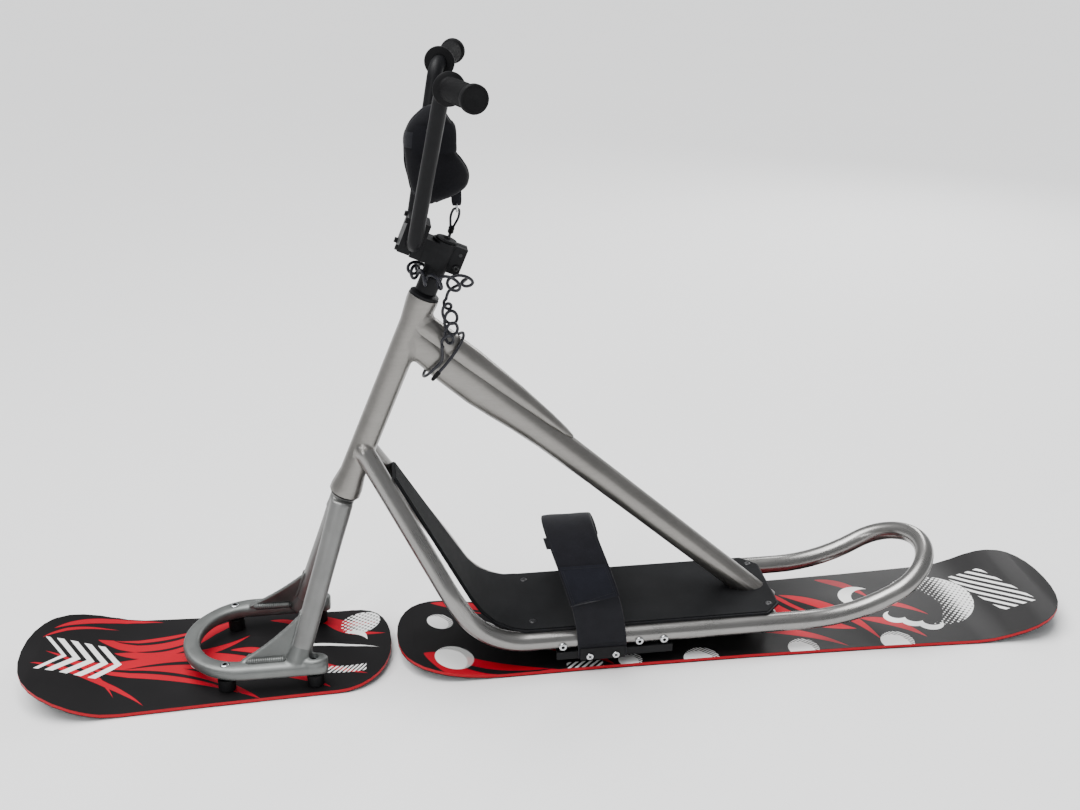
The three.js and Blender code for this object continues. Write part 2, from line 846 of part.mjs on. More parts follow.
// The deck's plan: narrow at the top, wide over the rails, with clipped rear corners
function deckPlan(inset) {
  const topX = deckLine(railRadius)[0].x - cutOverrun;
  const half = [
    [topX, deckTopHalf],
    [deckNeckX, deckNeckHalf],
    [(deckNeckX + deckShoulderX) / 2, (deckNeckHalf + deckHalf * 2) / 3],
    [deckShoulderX, deckHalf],
    [deckRearX - deckCorner, deckHalf],
    [deckRearX, deckHalf - deckCorner],
  ].map(([x, y], i, list) => [i === list.length - 1 ? x - inset : x, y - inset]);
  const right = half.map(([x, y]) => new THREE.Vector2(x, y));
  const left = half.map(([x, y]) => new THREE.Vector2(x, -y)).reverse();
  return new THREE.Shape([...left, ...right]);
}

function deckLayer(bottom, top, inset) {
  const slab = deckSlab(bottom, top, deckHalf * 3);
  const plan = upright(deckPlan(inset), 0, deckTopHeight * 2);
  const hole = mainTubeBody(-seatGap * 2);
  const lifted = [-1, 1].flatMap((side) => deckScrewX.map((x) => rod(
    point(x, side * deckScrewHalf, deckBottom - cutOverrun),
    point(x, side * deckScrewHalf, deckTop + cutOverrun),
    deckScrewRadius + seatGap,
  )));
  return cut(common(slab, plan), hole, ...lifted);
}

function deck() {
  const plateBottom = railRadius + seatGap;
  const plateTop = plateBottom + deckThickness;
  const sheetBottom = plateTop + seatGap;
  const sheetTop = sheetBottom + gripSheetThickness;
  add(frame, 'deck_plate', deckLayer(plateBottom, plateTop, 0), blackPlate);
  const headHoles = [-1, 1].flatMap((side) => deckScrewX.map((x) => rod(
    point(x, side * deckScrewHalf, deckBottom),
    point(x, side * deckScrewHalf, deckTop * 2),
    deckScrewHeadRadius + seatGap,
  )));
  add(frame, 'grip_sheet', cut(deckLayer(sheetBottom, sheetTop, gripSheetInset), ...headHoles), blackPlate);
}

// A pan-head screw through the deck
function deckScrew(x, y) {
  const seat = deckTop + seatGap;
  const bottom = deckBottom - seatGap - deckBracketThickness * 2;
  return join(
    rod(point(x, y, seat), point(x, y, seat + deckScrewHeadHeight), deckScrewHeadRadius, coarseSides,
      deckScrewHeadRadius - deckScrewHeadHeight),
    rod(point(x, y, bottom), point(x, y, seat + deckScrewHeadHeight / 2), deckScrewRadius),
  );
}

// The channel that the rails stand on, bolted through rubber to the rear board
const channelTop = railHeight - railRadius - seatGap;
const channelBottom = channelTop - channelThickness;
function channel() {
  const skirtBottom = channelTop - channelSkirt;
  const flangeTop = channelTop + channelFlange;
  const halfOutline = [
    [channelHalf - channelThickness, skirtBottom],
    [channelHalf, skirtBottom],
    [channelHalf, channelTop],
    [flangeOuterHalf, channelTop],
    [flangeOuterHalf, flangeTop],
    [flangeInnerHalf, flangeTop],
    [flangeInnerHalf, channelTop],
  ];
  const right = halfOutline.map(([y, z]) => new THREE.Vector2(y, z));
  const left = halfOutline.map(([y, z]) => new THREE.Vector2(-y, z)).reverse();
  const inside = [
    new THREE.Vector2(-channelHalf + channelThickness, channelBottom),
    new THREE.Vector2(channelHalf - channelThickness, channelBottom),
  ];
  const body = alongRear(new THREE.Shape([...right, ...left, ...inside]), channelStartX, channelLength);
  const boltHoles = rearMountX.flatMap((x) => [-1, 1].map((side) => rod(
    point(x, side * rearMountHalf, skirtBottom),
    point(x, side * rearMountHalf, flangeTop),
    mountBoltRadius + seatGap,
  )));
  const screwHoles = [...railHoles(), ...strapScrewHoles()];
  add(frame, 'mount_channel', cut(body, ...boltHoles, ...screwHoles, ...screwHoles.map(mirrored)), blackMetal);
}

// A bolt down through a mount: head, shank through the rubber and into the board
function mountBolt(x, y, seat) {
  const bottom = boardTop - boltDepth;
  return join(
    rod(point(x, y, seat), point(x, y, seat + mountBoltHeadHeight), mountBoltHeadRadius, coarseSides,
      mountBoltHeadRadius - 1 / 2 * mountBoltHeadHeight / 2),
    rod(point(x, y, bottom), point(x, y, seat + mountBoltHeadHeight / 2), mountBoltRadius),
  );
}

function rubberMount(x, y, radius, top) {
  const bush = ring(mountBoltRadius + seatGap, radius, boardTop + seatGap, top - seatGap, coarseSides);
  return bush.translate(x, y, 0);
}

function rearMounts() {
  const [frontX, backX] = rearMountX;
  const strip = (half, bottom, top) => {
    const shape = new THREE.Shape();
    shape.absarc(frontX, -rearMountHalf, half, Math.PI / 2, Math.PI * 3 / 2);
    shape.absarc(backX, -rearMountHalf, half, -Math.PI / 2, Math.PI / 2);
    return upright(shape, bottom, top, 8);
  };
  const holes = rearMountX.map((x) => rod(
    point(x, -rearMountHalf, 0), point(x, -rearMountHalf, channelTop), mountBoltRadius + seatGap,
  ));
  const rubber = cut(strip(rearRubberRadius, boardTop + seatGap, channelBottom - seatGap), ...holes);
  const washerBottom = channelTop + seatGap;
  const washerTop = washerBottom + washerStripThickness;
  const bolts = join(
    strip(mountBoltHeadRadius + seatGap, washerBottom, washerTop),
    ...rearMountX.map((x) => mountBolt(x, -rearMountHalf, washerTop)),
  );
  add(frame, 'left_rubber_strip', rubber, blackRubber);
  add(frame, 'right_rubber_strip', mirrored(rubber), blackRubber);
  add(frame, 'left_rear_bolts', bolts, zinc);
  add(frame, 'right_rear_bolts', mirrored(bolts), zinc);
}

// Foot strap: an arch over the deck, drawn from behind and leant forward as it rises
const strapInner = channelHalf + seatGap;
function strapOutline(inner, outer, fromDegrees, toDegrees, leg) {
  const rise = (offset) => strapArchRise + offset - strapInner;
  const outline = new THREE.Shape();
  const from = THREE.MathUtils.degToRad(fromDegrees);
  const to = THREE.MathUtils.degToRad(toDegrees);
  const steps = Math.ceil((toDegrees - fromDegrees) / bendStepDegrees);
  const arc = (offset, start, end) => Array.from({ length: steps + 1 }, (_, i) => {
    const turn = start + (end - start) * i / steps;
    return new THREE.Vector2(offset * Math.cos(turn), strapShoulder + rise(offset) * Math.sin(turn));
  });
  const points = [...arc(outer, from, to), ...arc(inner, to, from)];
  if (leg) points.push(...strapLeg(inner, false), ...strapLeg(outer, true));
  outline.setFromPoints(points);
  return outline;
}

// Points down one side of the strap's upright leg
function strapLeg(side, upwards) {
  const drop = (strapShoulder - strapBase) / strapLegPoints;
  const heights = Array.from({ length: strapLegPoints }, (_, i) => strapShoulder - drop * (i + 1));
  if (upwards) heights.reverse();
  return heights.map((height) => new THREE.Vector2(side, height));
}

// The strap leans forward, the more the higher it is
function leanForward(geometry) {
  const place = geometry.attributes.position;
  const archTop = strapShoulder + strapArchRise - channelTop;
  for (let i = 0; i < place.count; i += 1) {
    const height = place.getZ(i) - channelTop;
    const lean = height * (strapLeanShare + strapTopLeanShare * Math.max(0, height) / archTop);
    place.setX(i, place.getX(i) - lean);
  }
  return geometry;
}

function strapBand(outline) {
  return leanForward(alongRear(outline, strapX - strapWidth / 2, strapWidth));
}

const strapScrewXs = [strapX - strapScrewSpacing / 2, strapX + strapScrewSpacing / 2];
const strapOuter = strapInner + strapThickness;
function strapScrewHoles() {
  return strapScrewXs.map((x) => rod(
    point(x, -channelHalf + channelThickness + cutOverrun, strapScrewHeight),
    point(x, -strapOuter - cutOverrun, strapScrewHeight),
    strapScrewRadius + seatGap,
  ));
}

function footStrap() {
  const holes = strapScrewHoles();
  const side = strapBand(strapOutline(strapInner, strapOuter, 0, strapOverlapDegrees, true));
  const right = cut(side, ...holes.map(mirrored));
  add(frame, 'right_strap', right, blackFabric);
  add(frame, 'left_strap', mirrored(right), blackFabric);
  const padInner = strapOuter + seatGap;
  const pad = strapOutline(padInner, padInner + padThickness, 0, 180, false);
  add(frame, 'strap_pad', strapBand(pad), blackFabric);
  const plateInner = strapOuter + seatGap;
  const plateCentre = strapScrewHeight + strapPlateLift;
  const plate = box(
    point(strapX - strapPlateLength / 2, -plateInner - strapPlateThickness, plateCentre - strapPlateHeight / 2),
    point(strapX + strapPlateLength / 2, -plateInner, plateCentre + strapPlateHeight / 2),
  );
  const headStart = plateInner + strapPlateThickness;
  const screws = strapScrewXs.map((x) => {
    const at = (y) => point(x, -y, strapScrewHeight);
    const inner = channelHalf - channelThickness - strapScrewHeadHeight;
    return join(
      rod(at(headStart), at(headStart + strapScrewHeadHeight), strapScrewHeadRadius, coarseSides,
        strapScrewHeadRadius / 2),
      rod(at(headStart + strapScrewHeadHeight / 2), at(inner), strapScrewRadius),
    );
  });
  const fastening = join(plate, ...screws);
  add(frame, 'left_strap_plate', fastening, blackMetal);
  add(frame, 'right_strap_plate', mirrored(fastening), blackMetal);
}

// Boards: a slab with upturned ends, trimmed to a plan with rounded tips
function tipRise(distance, run, rise) {
  return rise * THREE.MathUtils.smoothstep(distance, 0, run);
}

function boardSlab(board, bottom, top) {
  const steps = 6;
  const stations = [];
  for (let i = 0; i <= steps; i += 1) stations.push(board.noseX + board.noseUpturn * i / steps);
  for (let i = steps; i >= 0; i -= 1) stations.push(board.tailX - board.tailUpturn * i / steps);
  const height = (x) =>
    tipRise(board.noseX + board.noseUpturn - x, board.noseUpturn, board.noseRise)
    + tipRise(x - board.tailX + board.tailUpturn, board.tailUpturn, board.tailRise);
  const lower = stations.map((x) => new THREE.Vector2(x, height(x) + bottom));
  const upper = stations.map((x) => new THREE.Vector2(x, height(x) + top)).reverse();
  return acrossY([...lower, ...upper], board.noseHalf * 3);
}

function boardPlan(board, inset) {
  const nose = board.noseX + inset;
  const tail = board.tailX - inset;
  const noseStart = board.noseX + board.noseLength;
  const tailStart = board.tailX - board.tailLength;
  const noseHalf = board.noseHalf - inset;
  const tailHalf = board.tailHalf - inset;
  const waist = board.waistHalf * 2 - (board.noseHalf + board.tailHalf) / 2 - inset;
  const middle = (noseStart + tailStart) / 2;
  const full = tipFullnessShare;
  const nosePull = (noseStart - nose) * full;
  const tailPull = (tail - tailStart) * full;
  const plan = new THREE.Shape();
  plan.moveTo(noseStart, -noseHalf);
  plan.quadraticCurveTo(middle, -waist, tailStart, -tailHalf);
  plan.bezierCurveTo(tailStart + tailPull, -tailHalf, tail, -tailHalf * full, tail, 0);
  plan.bezierCurveTo(tail, tailHalf * full, tailStart + tailPull, tailHalf, tailStart, tailHalf);
  plan.quadraticCurveTo(middle, waist, noseStart, noseHalf);
  plan.bezierCurveTo(noseStart - nosePull, noseHalf, nose, noseHalf * full, nose, 0);
  plan.bezierCurveTo(nose, -noseHalf * full, noseStart - nosePull, -noseHalf, noseStart, -noseHalf);
  return plan;
}

function boardSet(group, name, board, boltPlaces) {
  const reach = (board.noseRise + board.tailRise) * 2;
  const layer = (bottom, top, inset) =>
    common(boardSlab(board, bottom, top), upright(boardPlan(board, inset), -cutOverrun, reach, 8));
  const holes = boltPlaces.map(([x, y]) => rod(
    point(x, y, boardTop - boltDepth - seatGap),
    point(x, y, boardTop + cutOverrun),
    mountBoltRadius + seatGap,
  ));
  add(group, name, cut(layer(baseThickness + seatGap, boardTop, 0), ...holes), boardRed);
  add(group, name + '_base', layer(0, baseThickness, 0), boardBase);
}

const frontBoard = {
  noseX: frontNoseX, tailX: frontTailX, noseHalf: frontNoseHalf, waistHalf: frontWaistHalf,
  tailHalf: frontTailHalf, noseLength: frontNoseLength, tailLength: frontTailLength,
  noseUpturn: frontNoseUpturn, tailUpturn: frontTailUpturn, noseRise: frontNoseRise, tailRise: frontTailRise,
};
const rearBoard = {
  noseX: rearNoseX, tailX: rearTailX, noseHalf: rearNoseHalf, waistHalf: rearWaistHalf,
  tailHalf: rearTailHalf, noseLength: rearNoseLength, tailLength: rearTailLength,
  noseUpturn: rearNoseUpturn, tailUpturn: rearTailUpturn, noseRise: rearNoseRise, tailRise: rearTailRise,
};

// Steerer tube, crown race, crown, top cover and spacers
const coverTop = headTubeLength + seatGap + topCoverHeight;
const lowerSpacerTop = coverTop + seatGap + lowerSpacerHeight;
const stemBottom = lowerSpacerTop + upperSpacerHeight + seatGap;
const stemTop = stemBottom + stemClampHeight;
const raceTop = -seatGap;
const raceBottom = raceTop - crownRaceHeight;
const crownTop = raceBottom - seatGap;
const crownBottom = crownTop - crownHeight;
function steererAndHeadset() {
  const bore = steererRadius + seatGap;
  const steererBottom = crownTop - crownHeight / 2;
  add(steeredHead, 'steerer_tube',
    ring(steererRadius - steererWall, steererRadius, steererBottom, stemTop - seatGap), steel);
  const race = turned([
    [bore, raceBottom], [crownRaceRadius, raceBottom], [crownRaceRadius, raceTop],
    [bore, raceTop], [bore, raceBottom],
  ]);
  add(steeredHead, 'crown_race', race, blackMetal);
  const coverBottom = headTubeLength + seatGap;
  const cover = turned([
    [bore, coverBottom], [topCoverRadius, coverBottom], [topCoverRadius, coverBottom + topCoverHeight / 2],
    [spacerRadius, coverTop], [bore, coverTop], [bore, coverBottom],
  ]);
  add(steeredHead, 'headset_top_cover', cover, blackMetal);
  const spacers = turned([
    [bore, coverTop + seatGap], [spacerRadius, coverTop + seatGap], [spacerRadius, lowerSpacerTop],
    [spacerRadius - spacerGroove, lowerSpacerTop + spacerGroove / 2],
    [spacerRadius, lowerSpacerTop + spacerGroove], [spacerRadius, stemBottom - seatGap],
    [bore, stemBottom - seatGap], [bore, coverTop + seatGap],
  ]);
  add(steeredHead, 'spacers', spacers, blackMetal);
  const crown = turned([
    [0, crownBottom],
    [crownRadius / 2, crownBottom],
    [crownRadius, crownBottom + crownHeight / 3],
    [crownRadius, crownTop - crownRadius / 4],
    [crownRaceRadius - crownRaceHeight / 2, crownTop],
    [bore, crownTop],
    [bore, steererBottom - seatGap],
    [0, steererBottom - seatGap],
  ]);
  add(steeredHead, 'fork_crown', crown, castAluminium);
}

// Fork legs: from the crown down and apart into the horseshoe's arms
function legEnds(side) {
  const top = headPoint(0, side * legTopHalf, crownTop - legTopDrop);
  const foot = point(legFootX, side * legFootHalf, legFootHeight);
  return [top, foot];
}

function legRod(side, radius, extra) {
  const [top, foot] = legEnds(side);
  const beyond = foot.clone().sub(top).normalize().multiplyScalar(extra);
  return rod(top, foot.clone().add(beyond), radius, fineSides);
}

function forkLegs() {
  const crownCutter = turned([
    [0, crownBottom - seatGap],
    [crownRadius / 2 + seatGap, crownBottom - seatGap],
    [crownRadius + seatGap, crownBottom + crownHeight / 3],
    [crownRadius + seatGap, crownTop - crownRadius / 4],
    [crownRaceRadius + seatGap, crownTop + seatGap],
    [crownRaceRadius + seatGap, crownTop + cutOverrun],
    [0, crownTop + cutOverrun],
  ]).applyMatrix4(headMatrix);
  const [top, foot] = legEnds(-1);
  const direction = foot.clone().sub(top).normalize();
  const bore = rod(top.clone().addScaledVector(direction, legRadius),
    foot.clone().addScaledVector(direction, cutOverrun), legRadius - legWall, fineSides);
  const otherHalf = box(
    point(foot.x - legFootHalf, -seatGap / 2, 0),
    point(top.x + legFootHalf, legFootHalf, top.z + legFootHalf),
  );
  const shell = cut(legRod(-1, legRadius, 0), bore, crownCutter, otherHalf);
  const solids = solidOf(shell).decompose();
  solids.sort((a, b) => b.volume() - a.volume());
  const geometry = geometryOf(solids[0]);
  add(steered, 'left_fork_leg', geometry, satinAluminium);
  add(steered, 'right_fork_leg', mirrored(geometry), satinAluminium);
}

// Horseshoe casting: a U of two rounded arms and a flatter front arch, with two gussets
function horseshoeRing(place, direction, width, height, roundness) {
  const sideways = direction.clone().cross(alongZ).normalize();
  const centreZ = armTopHeight - height / 2;
  return Array.from({ length: coarseSides }, (_, i) => {
    const turn = 2 * Math.PI * (i + 1 / 2) / coarseSides;
    const c = Math.cos(turn);
    const s = Math.sin(turn);
    const reach = (v) => Math.sign(v) * Math.abs(v) ** roundness;
    return place.clone()
      .addScaledVector(sideways, reach(c) * width / 2)
      .setZ(centreZ + reach(s) * height / 2);
  });
}

const armRoundnessShare = 0.72;
const archRoundnessShare = 0.5;
const armTipShares = [[0, 0.5], [0.12, 0.8], [0.35, 1]];
function horseshoe() {
  const rings = [];
  const back = alongX.clone().negate();
  for (const [share, widthShare] of armTipShares) {
    const x = armRearX - armWidth * share;
    rings.push(horseshoeRing(point(x, -armHalf, 0), back, armWidth * widthShare,
      armHeight * (1 + widthShare) / 2, armRoundnessShare));
  }
  rings.push(horseshoeRing(point(archCentreX + armBlendLength / 2, -armHalf, 0), back, armWidth, armHeight,
    armRoundnessShare));
  const steps = 12;
  for (let i = 0; i <= steps / 2; i += 1) {
    const turn = Math.PI * i / steps;
    const blend = Math.min(1, i / (steps / 4));
    const place = point(archCentreX - armHalf * Math.sin(turn), -armHalf * Math.cos(turn), 0);
    const direction = point(-Math.cos(turn), Math.sin(turn), 0);
    rings.push(horseshoeRing(place, direction,
      THREE.MathUtils.lerp(armWidth, archWidth, blend),
      THREE.MathUtils.lerp(armHeight, archHeight, blend),
      THREE.MathUtils.lerp(armRoundnessShare, archRoundnessShare, blend)));
  }
  const mirroredRings = rings.slice(0, -1)
    .map((ringPoints) => ringPoints.map((p) => point(p.x, -p.y, p.z)))
    .reverse();
  const u = skin([...rings, ...mirroredRings]);
  const gussets = [-1, 1].map(gusset);
  const sockets = [-1, 1].map((side) => legRod(side, legRadius + seatGap, seatGap));
  const holes = frontMountPlaces().map(([x, y]) => rod(
    point(x, y, 0), point(x, y, armTopHeight + cutOverrun), mountBoltRadius + seatGap,
  ));
  const recesses = frontMountPlaces().map(([x, y]) => rod(
    point(x, y, armTopHeight - mountBoltHeadHeight - seatGap),
    point(x, y, armTopHeight + cutOverrun),
    mountBoltHeadRadius + seatGap,
  ));
  add(steered, 'horseshoe', cut(join(u, ...gussets), ...sockets, ...holes, ...recesses), castAluminium);
}

// A gusset plate that stands on an arm and runs up the front of its leg
function gusset(side) {
  const [top, foot] = legEnds(side);
  const slope = (top.x - foot.x) / (top.z - foot.z);
  const lean = (foot.y - top.y) / (foot.z - top.z);
  const bottom = armTopHeight - armHeight / 2;
  const legX = (z) => foot.x + (z - foot.z) * slope;
  const outline = [
    new THREE.Vector2(gussetFrontX, bottom),
    new THREE.Vector2(legX(bottom) + gussetFootOverlap, bottom),
    new THREE.Vector2(legX(armTopHeight) + gussetFootOverlap, armTopHeight),
    new THREE.Vector2(legX(gussetTopHeight), gussetTopHeight),
    new THREE.Vector2(legX(gussetTopHeight) - legRadius, gussetTopHeight),
    new THREE.Vector2(gussetFrontX, armTopHeight),
  ];
  const plate = acrossY(outline, gussetThickness);
  const shear = new THREE.Matrix4().set(
    1, 0, 0, 0,
    0, 1, lean, foot.y - lean * foot.z,
    0, 0, 1, 0,
    0, 0, 0, 1,
  );
  return plate.applyMatrix4(shear);
}

function frontMountPlaces() {
  return frontMountX.flatMap((x) => [-1, 1].map((side) => [x, side * frontMountHalf(x)]));
}

// A mount on the arch's curve stands nearer the centre line than one on the straight arm
function frontMountHalf(x) {
  const ahead = Math.max(0, archCentreX - x);
  return Math.sqrt(armHalf * armHalf - ahead * ahead);
}

function frontMounts() {
  const top = armTopHeight - armHeight;
  const names = ['front_left', 'front_right', 'back_left', 'back_right'];
  frontMountPlaces().forEach(([x, y], i) => {
    add(steered, 'rubber_mount_' + names[i], rubberMount(x, y, mountRubberRadius, top), blackRubber);
    add(steered, 'mount_bolt_' + names[i], mountBolt(x, y, armTopHeight - mountBoltHeadHeight), zinc);
  });
}

// Stem: a clamp on the steerer, a body forward to the bar, and a bolted face plate
const barCentreUp = stemBottom + barCentreAbove;
const clampCentre = headPoint(-stemReach, 0, barCentreUp);
function stemParts() {
  const clamp = rod(point(0, 0, stemBottom), point(0, 0, stemTop), stemClampRadius, fineSides);
  const ears = box(
    point(0, -stemEarWidth / 2, stemBottom),
    point(stemEarReach, stemEarWidth / 2, stemTop),
  );
  const body = box(
    point(-stemReach, -stemWidth / 2, stemBottom + stemBodyInset),
    point(0, stemWidth / 2, stemTop - stemBodyInset),
  );
  const blockBottom = barCentreUp - stemBlockBelow;
  const blockTop = barCentreUp + stemBlockAbove;
  const block = box(
    point(-stemReach + facePlateGap / 2, -stemBlockWidth / 2, blockBottom),
    point(-stemReach + facePlateGap / 2 + stemBlockDepth, stemBlockWidth / 2, blockTop),
  );
  const bore = rod(point(0, 0, stemBottom - cutOverrun), point(0, 0, stemTop + cutOverrun),
    steererRadius + seatGap, fineSides);
  const slot = box(
    point(0, -stemSlot / 2, stemBottom - cutOverrun),
    point(stemEarReach + cutOverrun, stemSlot / 2, stemTop + cutOverrun),
  );
  const barBore = rod(
    point(-stemReach, -stemBlockWidth, barCentreUp),
    point(-stemReach, stemBlockWidth, barCentreUp),
    barRadius + seatGap, fineSides,
  );
  const frontCut = box(
    point(-stemReach - stemBlockDepth * 2, -stemBlockWidth, blockBottom - cutOverrun),
    point(-stemReach + facePlateGap / 2, stemBlockWidth, blockTop + cutOverrun),
  );
  const pinchHoles = pinchBolts().map(({ place }) => rod(
    point(place.x, -stemEarWidth, place.z), point(place.x, stemEarWidth, place.z),
    pinchBoltRadius + seatGap,
  ));
  const faceHoles = faceBoltPlaces().map((place) => rod(
    point(-stemReach - facePlateDepth * 2, place.y, place.z),
    point(-stemReach + stemBlockDepth - faceBoltCover, place.y, place.z),
    pinchBoltRadius + seatGap,
  ));
  const whole = join(clamp, ears, body, block);
  add(steeredHead, 'stem_body', cut(whole, bore, slot, barBore, frontCut, ...pinchHoles, ...faceHoles), blackMetal);
  const plate = box(
    point(-stemReach - facePlateGap / 2 - facePlateDepth, -stemBlockWidth / 2, blockBottom),
    point(-stemReach - facePlateGap / 2, stemBlockWidth / 2, blockTop),
  );
  add(steeredHead, 'stem_face_plate', join(cut(plate, barBore), ...faceBoltPlaces().map(faceBolt)), blackMetal);
  const [lowerBolt, upperBolt] = pinchBolts().map(pinchBolt);
  add(steeredHead, 'lower_pinch_bolt', lowerBolt, zinc);
  add(steeredHead, 'upper_pinch_bolt', upperBolt, zinc);
}

function faceBoltPlaces() {
  const heights = [faceBoltInset - stemBlockBelow, stemBlockAbove - faceBoltInset];
  const across = stemBlockWidth / 2 - faceBoltInset;
  return heights.flatMap((up) => [-1, 1].map((side) => point(0, side * across, barCentreUp + up)));
}

function faceBolt(place) {
  const front = -stemReach - facePlateGap / 2 - facePlateDepth;
  const back = -stemReach + stemBlockDepth - faceBoltCover - seatGap;
  return join(
    rod(point(front, place.y, place.z), point(front - pinchHeadHeight, place.y, place.z), pinchHeadRadius),
    rod(point(front - pinchHeadHeight / 2, place.y, place.z), point(back, place.y, place.z), pinchBoltRadius),
  );
}

// Two pinch bolts, one put in from each side
function pinchBolts() {
  const x = (stemEarReach + steererRadius + pinchHeadRadius) / 2;
  return [
    { place: point(x, 0, stemBottom + pinchBoltInset), side: -1 },
    { place: point(x, 0, stemTop - pinchBoltInset), side: 1 },
  ];
}

function pinchBolt({ place, side }) {
  const seat = side * (stemEarWidth / 2 + seatGap);
  const end = seat + side * pinchHeadHeight;
  return join(
    rod(point(place.x, seat, place.z), point(place.x, end, place.z), pinchHeadRadius),
    rod(point(place.x, (seat + end) / 2, place.z), point(place.x, -side * stemEarWidth / 2, place.z),
      pinchBoltRadius),
  );
}

function topCap() {
  const bottom = stemTop + seatGap;
  const top = bottom + topCapHeight;
  const cap = turned([
    [0, bottom], [topCapRadius, bottom], [topCapRadius, bottom + topCapHeight / 2],
    [topCapRadius - topCapHeight / 2, top], [0, top],
  ]);
  const head = rod(point(0, 0, bottom), point(0, 0, top + topBoltHeadHeight), topBoltHeadRadius);
  const shank = rod(point(0, 0, top - topBoltLength), point(0, 0, top), topBoltRadius);
  const starNut = rod(
    point(0, 0, top - topBoltLength),
    point(0, 0, top - topBoltLength + topCapHeight),
    steererRadius - steererWall - seatGap,
  );
  add(steeredHead, 'top_cap', join(cap, head, shank, starNut), blackMetal);
}

// Handlebar: clamped centre, two risers and two swept-back grip stretches
function barPoint(sweep, sideways, rise) {
  return clampCentre.clone().add(point(sweep, sideways, rise));
}

function barCorners() {
  const grip = barPoint(barSweepBack + gripSweepBack, -barHalfWidth, barRise + gripUpsweep);
  const shoulder = barPoint(barSweepBack, -barShoulderHalf, barRise);
  const foot = barPoint(0, -barCentreHalf, 0);
  const flip = (p) => point(p.x, -p.y, p.z);
  return [grip, shoulder, foot, flip(foot), flip(shoulder), flip(grip)];
}

function handlebar() {
  const radii = [barUpperBend, barLowerBend, barLowerBend, barUpperBend];
  const path = new BentPath(barCorners(), radii);
  add(steered, 'handlebar', tubeAlong(path, barRadius, barRadius - barWall), blackMetal);
  const ends = crossbarEnds();
  const tube = rod(ends[0], ends[1], crossbarRadius, coarseSides);
  const solidBar = tubeAlong(path, barRadius + seatGap, 0, fineSides);
  add(steered, 'crossbar', cut(tube, solidBar), blackMetal);
}

function crossbarEnds() {
  const [, shoulder, foot] = barCorners();
  const left = foot.clone().lerp(shoulder, crossbarHeightShare);
  return [left, point(left.x, -left.y, left.z)];
}

function grips() {
  const [end, shoulder] = barCorners();
  const direction = shoulder.clone().sub(end).normalize();
  const turn = new THREE.Quaternion().setFromUnitVectors(alongZ, direction);
  const bore = barRadius + seatGap;
  const profile = [
    [bore, 0], [gripEndRadius, 0], [gripEndRadius, gripFlangeLength],
    [gripRadius, gripFlangeLength + gripFlangeLength / 2],
    [gripRadius, gripLength - gripFlangeLength - gripFlangeLength / 2],
    [gripFlangeRadius, gripLength - gripFlangeLength], [gripFlangeRadius, gripLength],
    [bore, gripLength], [bore, 0],
  ];
  const grip = turned(profile).applyQuaternion(turn).translate(end.x, end.y, end.z);
  add(steered, 'left_grip', grip, blackRubber);
  add(steered, 'right_grip', mirrored(grip), blackRubber);
  const inside = barRadius - barWall - 2 * seatGap;
  const plug = turned([
    [0, -seatGap - plugThickness], [plugRadius - plugThickness / 4, -seatGap - plugThickness],
    [plugRadius, -seatGap - plugThickness / 2], [plugRadius, -seatGap], [inside, -seatGap],
    [inside, plugStemLength], [0, plugStemLength],
  ]).applyQuaternion(turn).translate(end.x, end.y, end.z);
  add(steered, 'left_bar_plug', plug, blackRubber);
  add(steered, 'right_bar_plug', mirrored(plug), blackRubber);
}

// Wrist cuff: a padded oval wrapped round the crossbar, with an eyed tab at its foot.
// Each row: share of the height from the top, depth, thickness, and how far behind the crossbar
const cuffShares = [[0, 0.18, 0.2, 0], [0.04, 0.38, 0.5, 0.02], [0.16, 0.77, 0.78, 0.01], [0.27, 0.82, 0.9, 0.01],
  [0.38, 0.88, 0.96, 0.02], [0.53, 1, 1, 0.08], [0.66, 0.99, 0.98, 0.11], [0.78, 0.93, 0.92, 0.12],
  [0.88, 0.78, 0.76, 0.1], [0.94, 0.6, 0.5, 0.08], [1, 0.32, 0.2, 0.11]];
const crossbarAt = crossbarEnds()[0].setY(0);
const ferruleFoot = headPoint(ferruleBehind, ferruleSideways, stemTop + ferruleLift);
const leashRoom = crossbarAt.z - ferruleFoot.z;
const cuffBottomZ = crossbarAt.z - cuffDropShare * leashRoom;
const tabTopZ = crossbarAt.z - cuffTabTopShare * leashRoom;
const tabBottomZ = crossbarAt.z - cuffTabBottomShare * leashRoom;
function cuff() {
  const top = crossbarAt.z + cuffRise;
  const rings = cuffShares.map(([share, depthShare, thicknessShare, behindShare]) =>
    circle(1, coarseSides).map((p) => point(
      crossbarAt.x + behindShare * cuffDepth + p.x * depthShare * cuffDepth / 2,
      p.y * thicknessShare * cuffThickness / 2,
      top - share * (top - cuffBottomZ),
    )));
  const slot = rod(crossbarAt.clone().setY(-cuffThickness), crossbarAt.clone().setY(cuffThickness),
    crossbarRadius + seatGap, fineSides);
  const tab = box(
    point(tabCentreX - cuffTabWidth / 2, -cuffTabThickness / 2, tabBottomZ),
    point(tabCentreX + cuffTabWidth / 2, cuffTabThickness / 2, tabTopZ),
  );
  const eye = rod(ringTopAt.clone().setY(-cuffTabWidth), ringTopAt.clone().setY(cuffTabWidth), ringHoleRadius);
  add(steered, 'leash_cuff', cut(join(skin(rings), tab), slot, eye), blackFabric);
}

